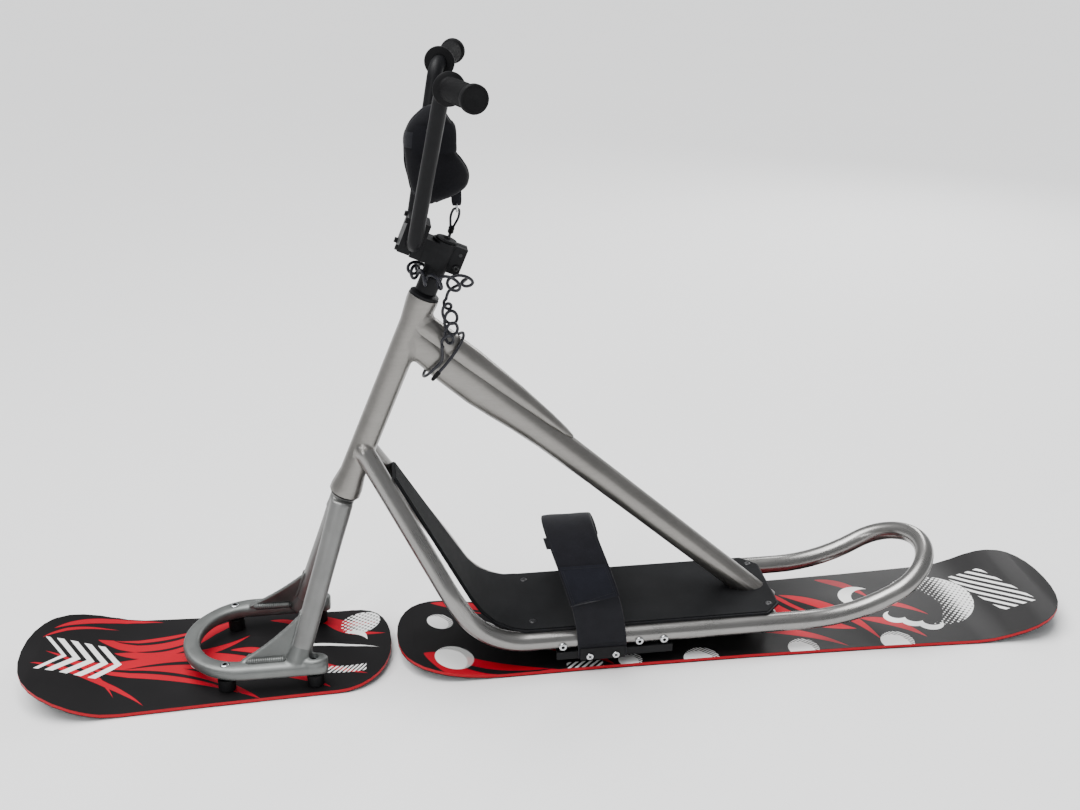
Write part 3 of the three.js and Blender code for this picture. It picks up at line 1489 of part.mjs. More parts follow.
// The ring through the tab's eye
const tabCentreX = crossbarAt.x + cuffTabBehind;
const ringTopAt = point(tabCentreX, 0, tabBottomZ + ringHoleRadius * 2);
const ringCentre = ringTopAt.clone().add(point(0, 0, -ringRadius));
function leashRing() {
  const steps = 20;
  const rings = Array.from({ length: steps }, (_, i) => {
    const turn = 2 * Math.PI * i / steps;
    const outward = point(0, Math.sin(turn), Math.cos(turn));
    return circle(ringWireRadius, 6).map((p) => ringCentre.clone()
      .addScaledVector(outward, ringRadius + p.x).add(point(p.y, 0, 0)));
  });
  const count = rings[0].length;
  const positions = rings.flat().flatMap((p) => [p.x, p.y, p.z]);
  const indices = [];
  for (let i = 0; i < steps; i += 1) {
    for (let k = 0; k < count; k += 1) {
      const a = i * count + k;
      const b = i * count + (k + 1) % count;
      const c = ((i + 1) % steps) * count + (k + 1) % count;
      const d = ((i + 1) % steps) * count + k;
      indices.push(a, b, c, a, c, d);
    }
  }
  const geometry = new THREE.BufferGeometry();
  geometry.setAttribute('position', new THREE.Float32BufferAttribute(positions, 3));
  geometry.setIndex(indices);
  add(steered, 'leash_ring', geometry, zinc);
}

// The ferrule that gathers the loop, above the stem's cap
const loopTop = ringCentre.clone().add(point(0, 0, ringWireRadius + loopCordRadius - ringRadius + loopSlack));
const ferruleUp = loopTop.clone().sub(ferruleFoot).normalize();
function leashLoop() {
  const up = ferruleUp;
  const ferruleTop = ferruleFoot.clone().addScaledVector(up, ferruleLength);
  const span = loopTop.distanceTo(ferruleTop);
  const across = alongY.clone().cross(up).normalize();
  const strandHalf = loopCordRadius + seatGap;
  const half = [
    [-ferruleLength / 2, strandHalf],
    [0, strandHalf],
    [span / 4, (strandHalf + loopHalfWidth) / 2],
    [span / 2, loopHalfWidth],
    [span * 3 / 4, loopHalfWidth],
    [span - loopHalfWidth / 3, loopHalfWidth * 2 / 3],
  ];
  const at = ([along, aside]) => ferruleTop.clone().addScaledVector(up, along).addScaledVector(across, aside);
  const places = [
    ...half.map(at),
    loopTop,
    ...half.map(([along, aside]) => at([along, -aside])).reverse(),
  ];
  const smooth = new THREE.CatmullRomCurve3(places).getPoints(26);
  const cord = cordAlong(smooth, loopCordRadius, 6);
  const ferrule = rod(ferruleFoot, ferruleTop, ferruleRadius, coarseSides, ferruleRadius);
  add(steered, 'leash_loop', join(cord, ferrule), blackCord);
}

// The upper cord: from the ferrule down the stem's far side, then curled round the spacers,
// wider behind them, and back in to the point where it crosses to the frame
const crossingUp = coverTop + cordRadius + seatGap * 4;
const crossingBehind = wrapRadius + wrapOffset;
const wrapUp = stemBottom - wrapCurlRadius - cordRadius - wrapDrop;
function upperCord() {
  const wrapSteps = 9;
  const wrap = Array.from({ length: wrapSteps + 1 }, (_, i) => {
    const turn = Math.PI / 2 + Math.PI * 3 / 2 * i / wrapSteps;
    const rear = THREE.MathUtils.smoothstep(i / wrapSteps, wrapRearStartShare, 1);
    const radius = THREE.MathUtils.lerp(wrapRadius, wrapRearRadius, rear);
    return headPoint(radius * Math.cos(turn), radius * Math.sin(turn), wrapUp + wrapRise * rear);
  });
  const guide = new THREE.CatmullRomCurve3([
    ferruleFoot.clone().addScaledVector(ferruleUp, -2 * seatGap),
    ferruleFoot.clone().addScaledVector(ferruleUp, -cordLeadLength),
    ...cordLeadPoints.map(([behind, sideways, up]) => headPoint(behind, sideways, stemTop + up)),
    ...wrap,
    ...cordReturnPoints.map(([behind, sideways, up]) => headPoint(behind, sideways, crossingUp + up)),
    headPoint(crossingBehind, 0, crossingUp + cordLeadLength),
    headPoint(crossingBehind, 0, crossingUp),
  ]);
  const radiusAt = (share) => {
    const rear = THREE.MathUtils.smoothstep(share, wrapRearStartShare, wrapShares[1] - wrapFadeShare);
    const radius = THREE.MathUtils.lerp(wrapCurlRadius, wrapRearCurlRadius, rear);
    return radius * THREE.MathUtils.clamp(
      Math.min((share - wrapShares[0]) / wrapFadeShare, (wrapShares[1] - share) / wrapFadeShare), 0, 1);
  };
  const places = curlPlaces(guide, wrapCurls, radiusAt, 8);
  console.log('upper cord, least gap to itself:', leastGap(places, cordRadius).toFixed(2), 'mm');
  add(steered, 'leash_cord_upper', cordAlong(places, cordRadius, 5), blackCord);
}

// The lower cord: looser curls beside the main tube, one turn round it, and a sleeved end
function lowerCord() {
  const guide = new THREE.CatmullRomCurve3(cordGuidePoints.map(([behind, sideways, up]) =>
    headPoint(behind, sideways, headTubeLength + up)));
  const radiusAt = (share) => Math.min(1, share / lowerRampShare)
    * THREE.MathUtils.lerp(bigCurlRadius, smallCurlRadius, share ** 2);
  const curls = curlPlaces(guide, lowerCurls, radiusAt, 8);
  const tieSteps = 14;
  const tie = Array.from({ length: tieSteps + 1 }, (_, i) => {
    const turn = 2 * Math.PI * i / tieSteps;
    const height = turn < Math.PI ? mainTubeBellyDepth : beadTop;
    return mainTubePoint(
      tieStart + tiePitch * i / tieSteps,
      -Math.cos(turn) * (mainTubeUpperRadius + tieClearance),
      -Math.sin(turn) * (height + tieClearance),
    );
  });
  const side = -mainTubeUpperRadius - tieClearance;
  const hang = mainTubePoint(tieStart + tiePitch, side, -cordEndLength);
  const tip = mainTubePoint(tieStart + tiePitch, side, -cordEndLength * 2);
  const bridge = new THREE.CatmullRomCurve3([curls.at(-1), ...tie, hang]);
  const places = [...curls.slice(0, -1), ...bridge.getSpacedPoints(36)];
  console.log('lower cord, least gap to itself:', leastGap(places, cordRadius).toFixed(2), 'mm');
  const start = headPoint(crossingBehind, 0, crossingUp - seatGap * 2);
  const sleeve = rod(hang, tip, cordEndRadius, holeSides, cordEndRadius * 2 / 3);
  const cord = cordAlong([start, ...places.slice(1)], cordRadius, 5);
  add(frame, 'leash_cord_lower', join(cord, sleeve), blackCord);
}

// Build everything
headTube();
mainTube();
sideTubes();
tailLoop();
crossMembers();
deck();
channel();
rearMounts();
footStrap();
boardSet(frame, 'rear_board', rearBoard,
  rearMountX.flatMap((x) => [-1, 1].map((side) => [x, side * rearMountHalf])));
boardSet(steered, 'front_board', frontBoard, frontMountPlaces());
steererAndHeadset();
forkLegs();
horseshoe();
frontMounts();
stemParts();
topCap();
handlebar();
grips();
cuff();
leashRing();
leashLoop();
upperCord();
lowerCord();

// Origin at the bottom centre of the model's box
scooter.updateMatrixWorld(true);
const bounds = new THREE.Box3().setFromObject(scooter);
scooter.position.set(-(bounds.min.x + bounds.max.x) / 2, 0, -bounds.min.z);
scooter.updateMatrixWorld(true);
console.log('moved by', scooter.position.toArray().map((v) => v.toFixed(2)).join(', '));

export default scooter;
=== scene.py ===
# Looks for the snow scooter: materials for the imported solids, the soft parts, the cords,
# the fastenings, the welds and the studio. Lengths are in the millimetres of the part's own
# design frame (x = 0 at the centre of the head tube's lower face) until a mesh is made.

import math

import bpy
from mathutils import Matrix, Quaternion, Vector, noise
from mathutils.bvhtree import BVHTree


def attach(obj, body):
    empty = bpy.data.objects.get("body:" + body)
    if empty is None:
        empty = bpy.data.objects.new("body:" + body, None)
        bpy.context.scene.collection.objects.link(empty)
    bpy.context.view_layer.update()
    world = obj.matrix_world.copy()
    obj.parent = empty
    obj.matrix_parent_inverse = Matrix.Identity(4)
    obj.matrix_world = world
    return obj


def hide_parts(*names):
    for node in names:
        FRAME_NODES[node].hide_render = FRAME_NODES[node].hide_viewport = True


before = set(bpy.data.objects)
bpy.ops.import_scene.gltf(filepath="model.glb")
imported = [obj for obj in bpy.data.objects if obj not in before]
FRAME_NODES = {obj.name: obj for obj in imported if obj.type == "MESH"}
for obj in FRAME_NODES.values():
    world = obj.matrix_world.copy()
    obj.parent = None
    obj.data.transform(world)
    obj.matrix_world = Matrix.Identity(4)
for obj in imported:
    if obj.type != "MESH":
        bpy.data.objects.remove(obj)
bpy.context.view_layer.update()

# Units and the move from the design frame to the row frame
MM = 0.001
MODEL_SHIFT = -339

# Head tube and the parts on it
HEAD_HEIGHT = 303
HEAD_LEAN = math.radians(23.4)
HEAD_LENGTH = 347
STEM_BOTTOM = 396.9
STEM_TOP = 438.9
STEM_REACH = 46
BAR_UP = 422.9

# Handlebar
BAR_RISE = 234
BAR_SWEEP = 47
BAR_SHOULDER_HALF = 92
BAR_HALF = 206
GRIP_SWEEP = 32
GRIP_UPSWEEP = 3
CROSSBAR_SHARE = 0.69

# Fork
LEG_TOP_HALF = 13.6
LEG_TOP_UP = -13.2
LEG_FOOT = (-92, 84, 40)
LEG_RADIUS = 15.9

# Tubes of the frame
RAIL_HEIGHT = 54
RAIL_HALF = 89.4
RAIL_RADIUS = 15.5
CROSS_TUBE_X = 689
MAIN_TUBE_UP = 289

# Foot strap
STRAP_X = 399
STRAP_HALF = 40
STRAP_SHOULDER = 118
STRAP_ARCH = 88
STRAP_INNER = 105.5
CHANNEL_TOP = 38.2
ARCH_LENGTH = 314
LEAN_SHARE = 0.03
TOP_LEAN_SHARE = 0.2

# Cords
CORD_RADIUS = 2.4
LOOP_RADIUS = 1.9

# Left is towards the photograph's camera
SIDES = ((-1, "left"), (1, "right"))
SIDEWAYS = Vector((0, 1, 0))

# Angles in degrees above which an edge between faces stays sharp
FINE_CREASE = 35
PLAIN_CREASE = 40
ROUND_CREASE = 50
SEAM_CREASE = 60


# Places in the design frame, and the move to the row frame

def point(x, y, z):
    return Vector((x, y, z))


def head_point(behind, sideways, up):
    """A point given behind the head tube's axis, sideways, and up the axis."""
    c, s = math.cos(HEAD_LEAN), math.sin(HEAD_LEAN)
    return Vector((behind * c + up * s, sideways, HEAD_HEIGHT - behind * s + up * c))


def to_row(p):
    return Vector(((p[0] + MODEL_SHIFT) * MM, p[1] * MM, p[2] * MM))


def from_row(p):
    return Vector((p[0] / MM - MODEL_SHIFT, p[1] / MM, p[2] / MM))


def smoothstep(value, low, high):
    share = min(1, max(0, (value - low) / (high - low)))
    return share * share * (3 - 2 * share)


def circle(count):
    """Equal angles once round."""
    return [2 * math.pi * k / count for k in range(count)]


def squared(value, power):
    """A sine or cosine raised to a power with its sign kept, which makes a circle squarish."""
    return math.copysign(abs(value) ** power, value)


HEAD_AXIS = (head_point(0, 0, 1) - head_point(0, 0, 0)).normalized()
CLAMP_CENTRE = head_point(-STEM_REACH, 0, BAR_UP)


# Materials

class Term:
    """One value of a material's node tree, with arithmetic."""

    def __init__(self, paint, socket):
        self.paint = paint
        self.socket = socket

    def step(self, edge, softness=0.4):
        """0 below the edge, 1 above it, with a short ramp."""
        node = self.paint.node("ShaderNodeMapRange")
        self.paint.put(self, node.inputs["Value"])
        self.paint.put(edge - softness / 2, node.inputs["From Min"])
        self.paint.put(edge + softness / 2, node.inputs["From Max"])
        return Term(self.paint, node.outputs["Result"])

    def scaled(self, low, high):
        """0 to 1 turned into low to high."""
        node = self.paint.node("ShaderNodeMapRange")
        self.paint.put(self, node.inputs["Value"])
        node.inputs["To Min"].default_value = low
        node.inputs["To Max"].default_value = high
        return Term(self.paint, node.outputs["Result"])

    def band(self, centre, half, softness=0.5):
        """1 where the value lies within half of the centre."""
        return (half - (self - centre).abs()).step(0, softness)


def add_operation(name, operation, swapped=False):
    """Give Term a method that makes one node of the operation."""
    def method(self, *others):
        values = (*others, self) if swapped else (self, *others)
        return self.paint.calc(operation, *values)

    setattr(Term, name, method)


OPERATIONS = {
    "__add__": "ADD", "__radd__": "ADD", "__sub__": "SUBTRACT", "__mul__": "MULTIPLY",
    "__rmul__": "MULTIPLY", "__truediv__": "DIVIDE", "abs": "ABSOLUTE", "sin": "SINE",
    "fraction": "FRACT", "root": "SQRT", "power": "POWER", "lower": "MINIMUM", "higher": "MAXIMUM",
}
for method_name, operation_name in OPERATIONS.items():
    add_operation(method_name, operation_name)
add_operation("__rsub__", "SUBTRACT", swapped=True)


class Paint:
    """A procedural material around one Principled shader."""

    def __init__(self, name, metallic=0.0, roughness=0.5, **sockets):
        self.material = bpy.data.materials.new(name)
        self.material.use_nodes = True
        self.tree = self.material.node_tree
        self.tree.nodes.clear()
        output = self.node("ShaderNodeOutputMaterial")
        self.shader = self.node("ShaderNodeBsdfPrincipled")
        self.tree.links.new(self.shader.outputs[0], output.inputs["Surface"])
        self.shader.inputs["Metallic"].default_value = metallic
        self.shader.inputs["Roughness"].default_value = roughness
        for socket, value in sockets.items():
            self.shader.inputs[socket.replace("_", " ").title().replace("Ior", "IOR")].default_value = value
        self.place = self.node("ShaderNodeTexCoord")

    def node(self, kind, **settings):
        made = self.tree.nodes.new(kind)
        for key, value in settings.items():
            setattr(made, key, value)
        return made

    def put(self, value, socket):
        if isinstance(value, Term):
            self.tree.links.new(value.socket, socket)
        elif hasattr(value, "is_output"):
            self.tree.links.new(value, socket)
        else:
            socket.default_value = value

    def calc(self, operation, *values):
        made = self.node("ShaderNodeMath", operation=operation)
        for value, socket in zip(values, made.inputs):
            self.put(value, socket)
        return Term(self, made.outputs[0])

    def vector(self, output="Object", turn=None, stretch=(1, 1, 1)):
        """Object or UV coordinates in millimetres, turned and stretched."""
        mapping = self.node("ShaderNodeMapping")
        self.put(self.place.outputs[output], mapping.inputs["Vector"])
        unit = 1 / MM if output == "Object" else 1
        if turn is not None:
            mapping.inputs["Rotation"].default_value = turn
        mapping.inputs["Scale"].default_value = [unit * s for s in stretch]
        return mapping.outputs[0]

    def xyz(self, source=None):
        split = self.node("ShaderNodeSeparateXYZ")
        self.put(self.vector() if source is None else source, split.inputs[0])
        return [Term(self, socket) for socket in split.outputs]

    def noise(self, size, detail=2, source=None, roughness=0.5):
        """Noise whose lumps are about size millimetres across."""
        made = self.node("ShaderNodeTexNoise")
        self.put(self.vector() if source is None else source, made.inputs["Vector"])
        made.inputs["Scale"].default_value = 1 / size
        made.inputs["Detail"].default_value = detail
        made.inputs["Roughness"].default_value = roughness
        return Term(self, made.outputs[0])

    def cells(self, size):
        made = self.node("ShaderNodeTexVoronoi")
        self.put(self.vector(), made.inputs["Vector"])
        made.inputs["Scale"].default_value = 1 / size
        return Term(self, made.outputs["Distance"])

    def mix(self, share, first, second):
        made = self.node("ShaderNodeMix", data_type="RGBA")
        self.put(share, made.inputs[0])
        for value, socket in ((first, made.inputs[6]), (second, made.inputs[7])):
            if isinstance(value, tuple):
                socket.default_value = (*value, 1)
            else:
                self.put(value, socket)
        return made.outputs[2]

    def colour(self, value):
        self.put(value, self.shader.inputs["Base Color"])

    def rough(self, value):
        self.put(value, self.shader.inputs["Roughness"])

    def bump(self, height, depth, strength=1.0):
        """Bump whose height of 1 is depth millimetres."""
        made = self.node("ShaderNodeBump")
        self.put(height, made.inputs["Height"])
        made.inputs["Distance"].default_value = depth * MM
        made.inputs["Strength"].default_value = strength
        self.put(made.outputs[0], self.shader.inputs["Normal"])


def along(axis):
    """The turn that brings an axis onto x, for grain that runs along it."""
    return Vector(axis).rotation_difference(Vector((1, 0, 0))).to_euler()


def brushed_metal(name, axis, light, dark, roughness):
    """Clear-coated tube with brush marks along its axis and faint smudges."""
    paint = Paint(name, metallic=0.92, roughness=roughness, coat_weight=0.3, coat_roughness=0.22)
    turn = along(axis)
    grain = paint.noise(size=1, detail=3, source=paint.vector(turn=turn, stretch=(0.025, 1.6, 1.6)))
    streaks = paint.noise(size=1, detail=2, source=paint.vector(turn=turn, stretch=(0.006, 0.22, 0.22)))
    cloud = paint.noise(size=46, detail=3)
    tone = (grain * 0.45 + streaks * 0.3 + cloud * 0.5).step(edge=0.62, softness=0.9)
    paint.colour(paint.mix(tone, dark, light))
    paint.rough((grain * 0.5 + cloud * 0.6).scaled(low=roughness - 0.1, high=roughness + 0.12))
    paint.bump(grain, depth=0.02, strength=0.4)
    return paint.material


def tube_metal(name, light, dark, roughness):
    """Clear-coated tube whose brush marks follow its UV map: u round it, v along it, in millimetres."""
    paint = Paint(name, metallic=0.92, roughness=roughness, coat_weight=0.3, coat_roughness=0.22)
    grain = paint.noise(size=1, detail=3, source=paint.vector("UV", stretch=(1.4, 0.03, 1)))
    streaks = paint.noise(size=1, detail=2, source=paint.vector("UV", stretch=(0.3, 0.006, 1)))
    cloud = paint.noise(size=46, detail=3)
    tone = (grain * 0.4 + streaks * 0.35 + cloud * 0.5).step(edge=0.62, softness=0.9)
    paint.colour(paint.mix(tone, dark, light))
    paint.rough((grain * 0.4 + cloud * 0.6).scaled(low=roughness - 0.07, high=roughness + 0.1))
    paint.bump(grain, depth=0.012, strength=0.3)
    return paint.material


def cast_metal(name, light, dark):
    """Bead-blasted casting with a fine sandy grain."""
    paint = Paint(name, metallic=0.85, roughness=0.48)
    grit = paint.noise(size=0.9, detail=4, roughness=0.65)
    pits = paint.noise(size=3.5, detail=2)
    cloud = paint.noise(size=38, detail=3)
    paint.colour(paint.mix((cloud * 0.7 + grit * 0.4).step(edge=0.55, softness=0.7), dark, light))
    paint.rough((cloud * 0.5 + grit * 0.5).scaled(low=0.38, high=0.58))
    paint.bump(grit * 0.7 + pits * 0.6, depth=0.16, strength=0.7)
    return paint.material


def plated_metal(name, light, dark, roughness):
    """Bright plating with faint turning marks and stains."""
    paint = Paint(name, metallic=1.0, roughness=roughness)
    fine = paint.noise(size=0.8, detail=3)
    stain = paint.noise(size=6, detail=3)
    paint.colour(paint.mix(stain.step(edge=0.5, softness=0.6), dark, light))
    paint.rough((stain * 0.6 + fine * 0.5).scaled(low=roughness - 0.08, high=roughness + 0.12))
    paint.bump(fine, depth=0.03, strength=0.4)
    return paint.material


def black_finish(name, light, dark, roughness, grain, depth, specular):
    """Black paint, anodising, rubber or plastic, and the painted shade inside screw recesses, told apart by
    grain, depth and gloss.
    """
    paint = Paint(name, roughness=roughness, specular_ior_level=specular)
    fine = paint.noise(size=grain, detail=3)
    dust = paint.noise(size=grain * 26, detail=4)
    paint.colour(paint.mix((dust * 0.8 + fine * 0.3).step(edge=0.58, softness=0.5), dark, light))
    paint.rough((dust * 0.7 + fine * 0.4).scaled(low=roughness - 0.1, high=roughness + 0.14))
    paint.bump(fine, depth=depth, strength=0.6)
    return paint.material


GRIT_DARK = (0.0045, 0.0047, 0.0052)
GRIT_LIGHT = (0.011, 0.0114, 0.0125)
GRIT_PAINTED_GLINT = (0.06, 0.06, 0.066)
CORD_DARK = (0.005, 0.005, 0.008)
CORD_LIGHT = (0.013, 0.0135, 0.02)


def grit_finish():
    """Grit sheet: sharp grains, with painted glints on a few of them."""
    paint = Paint("grit_sheet", roughness=0.85, specular_ior_level=0.16)
    grains = paint.cells(size=0.75)
    clump = paint.noise(size=5, detail=3)
    dust = paint.noise(size=70, detail=3)
    # Painted highlight: a few grains are coloured lighter as glints
    painted_glint = (1 - paint.cells(size=1.9)).step(edge=0.9, softness=0.06)
    base = paint.mix((clump * 0.5 + dust * 0.6).step(edge=0.55, softness=0.4), GRIT_DARK, GRIT_LIGHT)
    paint.colour(paint.mix(painted_glint * 0.4, base, GRIT_PAINTED_GLINT))
    paint.rough(clump.scaled(low=0.72, high=0.95))
    paint.bump((1 - grains) + clump * 0.4, depth=0.35, strength=0.8)
    return paint.material


def woven_finish(name, light, dark, rib, pick, sheen):
    """Webbing by its UV map in millimetres: u across, v along. Ribs run along, picks across."""
    paint = Paint(name, roughness=0.82, sheen_weight=sheen, sheen_roughness=0.45, specular_ior_level=0.12)
    u, v, _ = paint.xyz(paint.vector("UV"))
    turn = 2 * math.pi
    shifted = u / rib + (v / pick * 0.5).fraction().step(edge=0.5, softness=0.02) * 0.5
    ribs = (shifted * turn).sin().abs()
    picks = (v / pick * turn / 2).sin().abs()
    weave = ribs * 0.6 + picks * 0.5
    fuzz = paint.noise(size=0.5, detail=3)
    worn = paint.noise(size=22, detail=3)
    tone = (weave * 0.45 + worn * 0.5 + fuzz * 0.2).step(edge=0.62, softness=0.7)
    paint.colour(paint.mix(tone, dark, light))
    paint.rough((fuzz * 0.5 + worn * 0.5).scaled(low=0.7, high=0.95))
    paint.bump(weave + fuzz * 0.35, depth=0.28, strength=0.8)
    return paint.material


def knit_finish(name, light, dark, size, sheen, depth):
    """Padded knit or hook-and-loop pile, placed by object coordinates."""
    paint = Paint(name, roughness=0.88, sheen_weight=sheen, sheen_roughness=0.4, specular_ior_level=0.1)
    loops = paint.cells(size)
    fuzz = paint.noise(size=size * 0.6, detail=3)
    worn = paint.noise(size=18, detail=4)
    tone = (loops * 0.5 + worn * 0.6 + fuzz * 0.2).step(edge=0.6, softness=0.8)
    paint.colour(paint.mix(tone, dark, light))
    paint.rough((fuzz * 0.5 + worn * 0.5).scaled(low=0.75, high=0.98))
    paint.bump((1 - loops) * 0.8 + fuzz * 0.5, depth=depth, strength=0.8)
    return paint.material


def cord_finish():
    """Smooth sheathed cord with a faint drawn grain."""
    paint = Paint("cord_sheath", roughness=0.34, specular_ior_level=0.35)
    around = paint.xyz(paint.vector("UV"))[0]
    drawn = (around * 9).sin() * 0.25 + 0.5
    smear = paint.noise(size=9, detail=3)
    paint.colour(paint.mix((smear * 0.7 + drawn * 0.3).step(edge=0.5, softness=0.6), CORD_DARK, CORD_LIGHT))
    paint.rough(smear.scaled(low=0.26, high=0.44))
    paint.bump(paint.noise(size=1.4, detail=3) + drawn * 0.2, depth=0.05, strength=0.5)
    return paint.material


RED = (0.43, 0.0015, 0.016)
DEEP_RED = (0.37, 0.001, 0.013)
WHITE = (0.86, 0.86, 0.85)
INK = (0.0055, 0.005, 0.0055)
SOFT_INK = (0.0095, 0.0088, 0.0092)
SIDE_RED = (0.4, 0.004, 0.014)
SIDE_LIGHT_RED = (0.42, 0.005, 0.014)
EDGE_SOFTNESS = 0.5
HAIRLINE = 0.4


def halftone(x, y, pitch, radius):
    """Dots on a grid turned by 45 degrees, with a radius that may vary, in millimetres."""
    p = (x + y) / (pitch * math.sqrt(2))
    q = (x - y) / (pitch * math.sqrt(2))
    du = p.fraction() - 0.5
    dv = q.fraction() - 0.5
    distance = (du * du + dv * dv).root() * pitch
    return (radius - distance).step(0, EDGE_SOFTNESS)


def disc(x, y, cx, cy, radius, squash=1.0):
    """1 inside a round or squashed disc."""
    distance = ((x - cx) * (x - cx) + (y - cy) * (y - cy) * squash).root()
    return (radius - distance).step(0, EDGE_SOFTNESS)


def hatch(x, y, slant, pitch, share):
    """Slanted stripes that fill a share of their pitch."""
    return ((x + y * slant) / pitch).fraction().band(0.5, share / 2, 0.05)


def sweep(x, y, start, end, bow, width):
    """A curved tapering stroke from start to end, bowed sideways in the middle."""
    dx, dy = end[0] - start[0], end[1] - start[1]
    length = math.hypot(dx, dy)
    ux, uy = dx / length, dy / length
    run = ((x - start[0]) * ux + (y - start[1]) * uy) / length
    off = (y - start[1]) * ux - (x - start[0]) * uy
    arch = run * (1 - run) * 4
    half = arch.higher(0).power(0.8) * (1.35 - run * 0.7) * (width * 0.75) - HAIRLINE
    return (half - (off - arch * bow).abs()).step(0, EDGE_SOFTNESS)


def board_finish(name, graphics):
    """Satin top sheet with a print, red side walls and a black underside."""
    paint = Paint(name, roughness=0.44, coat_weight=0.05, coat_roughness=0.2, specular_ior_level=0.12)
    x, y, _ = paint.xyz()
    red, white = graphics(x - MODEL_SHIFT, y)
    wave = paint.noise(size=90, detail=2)
    scuff = paint.noise(size=1, detail=3, source=paint.vector(stretch=(0.03, 1.1, 1)))
    ink = paint.mix(wave.step(edge=0.5, softness=0.8), INK, SOFT_INK)
    print_red = paint.mix(wave.step(edge=0.5, softness=0.8), RED, DEEP_RED)
    face = paint.mix(white, paint.mix(red, ink, print_red), WHITE)
    normal = paint.xyz(paint.place.outputs["Normal"])[2]
    side = paint.mix(paint.noise(size=14, detail=3).step(edge=0.5, softness=0.7), SIDE_RED, SIDE_LIGHT_RED)
    topped = paint.mix(normal.step(edge=0.55, softness=0.1), side, face)
    paint.colour(paint.mix((0 - normal).step(edge=0.55, softness=0.1), topped, INK))
    paint.rough((wave * 0.5 + scuff * 0.5).scaled(low=0.34, high=0.52))
    paint.bump(scuff * 0.3 + wave * 0.6, depth=0.04, strength=0.3)
    return paint.material


FRONT_SWEEPS = (
    ((-500, 70), (-330, 118), 26, 9), ((-512, 40), (-400, 96), 16, 5), ((-430, 60), (-190, 122), -34, 26),
    ((-400, 30), (-230, 84), -26, 17), ((-330, 18), (-180, 60), -20, 12), ((-516, -30), (-330, -116), 26, 9),
    ((-500, 5), (-380, -92), 20, 6), ((-470, -14), (-150, -120), 34, 24), ((-420, -8), (-40, -104), 46, 30),
    ((-300, -22), (20, -84), 34, 15), ((-90, 118), (40, 60), -14, 14), ((-60, 90), (50, 22), -12, 9),
    ((-150, 100), (-70, 50), 12, 8), ((-210, 20), (-120, -30), 16, 11),
)
FRONT_INK_SWEEPS = (
    ((-410, 66), (-230, 112), -28, 6), ((-440, -18), (-170, -112), 30, 6), ((-380, -14), (-90, -98), 40, 7),
    ((-370, 36), (-250, 78), -20, 5),
)


def union(masks):
    """The highest of several masks."""
    total = None
    for mask in masks:
        total = mask if total is None else total.higher(mask)
    return total


FRONT_WHITE_SWEEPS = (((-130, 14), (40, -18), 16, 5), ((-20, 46), (18, 12), 10, 8))
FRONT_SPOT = (-236, -6, 36, 1.5)
FRONT_SPOT_GAP = (-222, 8, 34, 1.5)
FRONT_DOTTED = (6, 66, 34, 1.2)
CHEVRON_SLANT = 0.75
CHEVRON_PITCH = 21
CHEVRON_PLACE = (-428, 46)
CHEVRON_HALF = 44


def front_graphics(x, y):
    """Flame-like sweeps from the nose along both edges, chevrons, a dotted disc and bars."""
    red = union(sweep(x, y, *stroke) for stroke in FRONT_SWEEPS)
    ink = union(sweep(x, y, *stroke) for stroke in FRONT_INK_SWEEPS)
    run = x + y.abs() * CHEVRON_SLANT
    chevrons = (run / CHEVRON_PITCH).fraction().band(centre=0.5, half=0.27, softness=0.03)
    inside = run.band(*CHEVRON_PLACE, EDGE_SOFTNESS) * y.abs().band(0, CHEVRON_HALF, EDGE_SOFTNESS)
    white = chevrons * inside
    white = white.higher(disc(x, y, *FRONT_SPOT) * (1 - disc(x, y, *FRONT_SPOT_GAP)))
    dots = halftone(x, y, pitch=7, radius=((x + 62) / 60 * 3.2).lower(3.4).higher(0))
    white = white.higher(dots * disc(x, y, *FRONT_DOTTED))
    bars = hatch(x, y, slant=-0.9, pitch=9, share=0.5) * (y + 62 + x * 0.12).band(0, 9, EDGE_SOFTNESS)
    white = white.higher(bars * x.band(-30, 46, EDGE_SOFTNESS))
    for stroke in FRONT_WHITE_SWEEPS:
        white = white.higher(sweep(x, y, *stroke))
    return red * (1 - ink) * (1 - white), white


REAR_SWEEPS = (
    ((128, 96), (330, 20), 22, 20), ((110, -56), (330, -108), -24, 44), ((236, -20), (420, -104), 24, 22),
    ((250, 60), (360, 104), 14, 14), ((590, 96), (760, 34), 26, 20), ((700, 104), (850, -60), -30, 34),
    ((748, 60), (880, -96), 26, 16), ((660, -40), (820, -108), 16, 12), ((828, 100), (906, 30), 12, 12),
    ((866, -30), (960, -100), 14, 13), ((900, 20), (990, -36), 10, 9), ((520, 104), (640, 70), 10, 9),
)
REAR_INK_SWEEPS = (
    ((140, -66), (320, -102), -18, 9), ((156, 82), (300, 32), 16, 5), ((720, 86), (840, -44), -22, 8),
    ((262, -36), (400, -98), 18, 6),
)
REAR_DISCS = ((160, -64, 32), (214, 22, 24), (142, 40, 22), (448, -96, 20), (566, -108, 30), (636, 84, 36),
              (742, -102, 26), (905, -104, 28))


REAR_BARS = (372, 30)
PANEL = (1010, 10, 74, 0.9)
PANEL_GAP = (962, -6, 60, 0.9)
PETAL_STEP = (26, -14)
CRESCENT = (886, 36, 34, 1.1)
CRESCENT_GAP = (904, 30, 30, 1.1)
TAIL_STRIPES = (1122, 30)
TAIL_STRIPES_HALF = (6, 66)


def petals(x, y, cx, cy, radius, squash):
    """Three squashed discs in a slanted row."""
    step_x, step_y = PETAL_STEP
    return union(disc(x, y, cx + step_x * i, cy + step_y * i, radius, squash) for i in range(3))


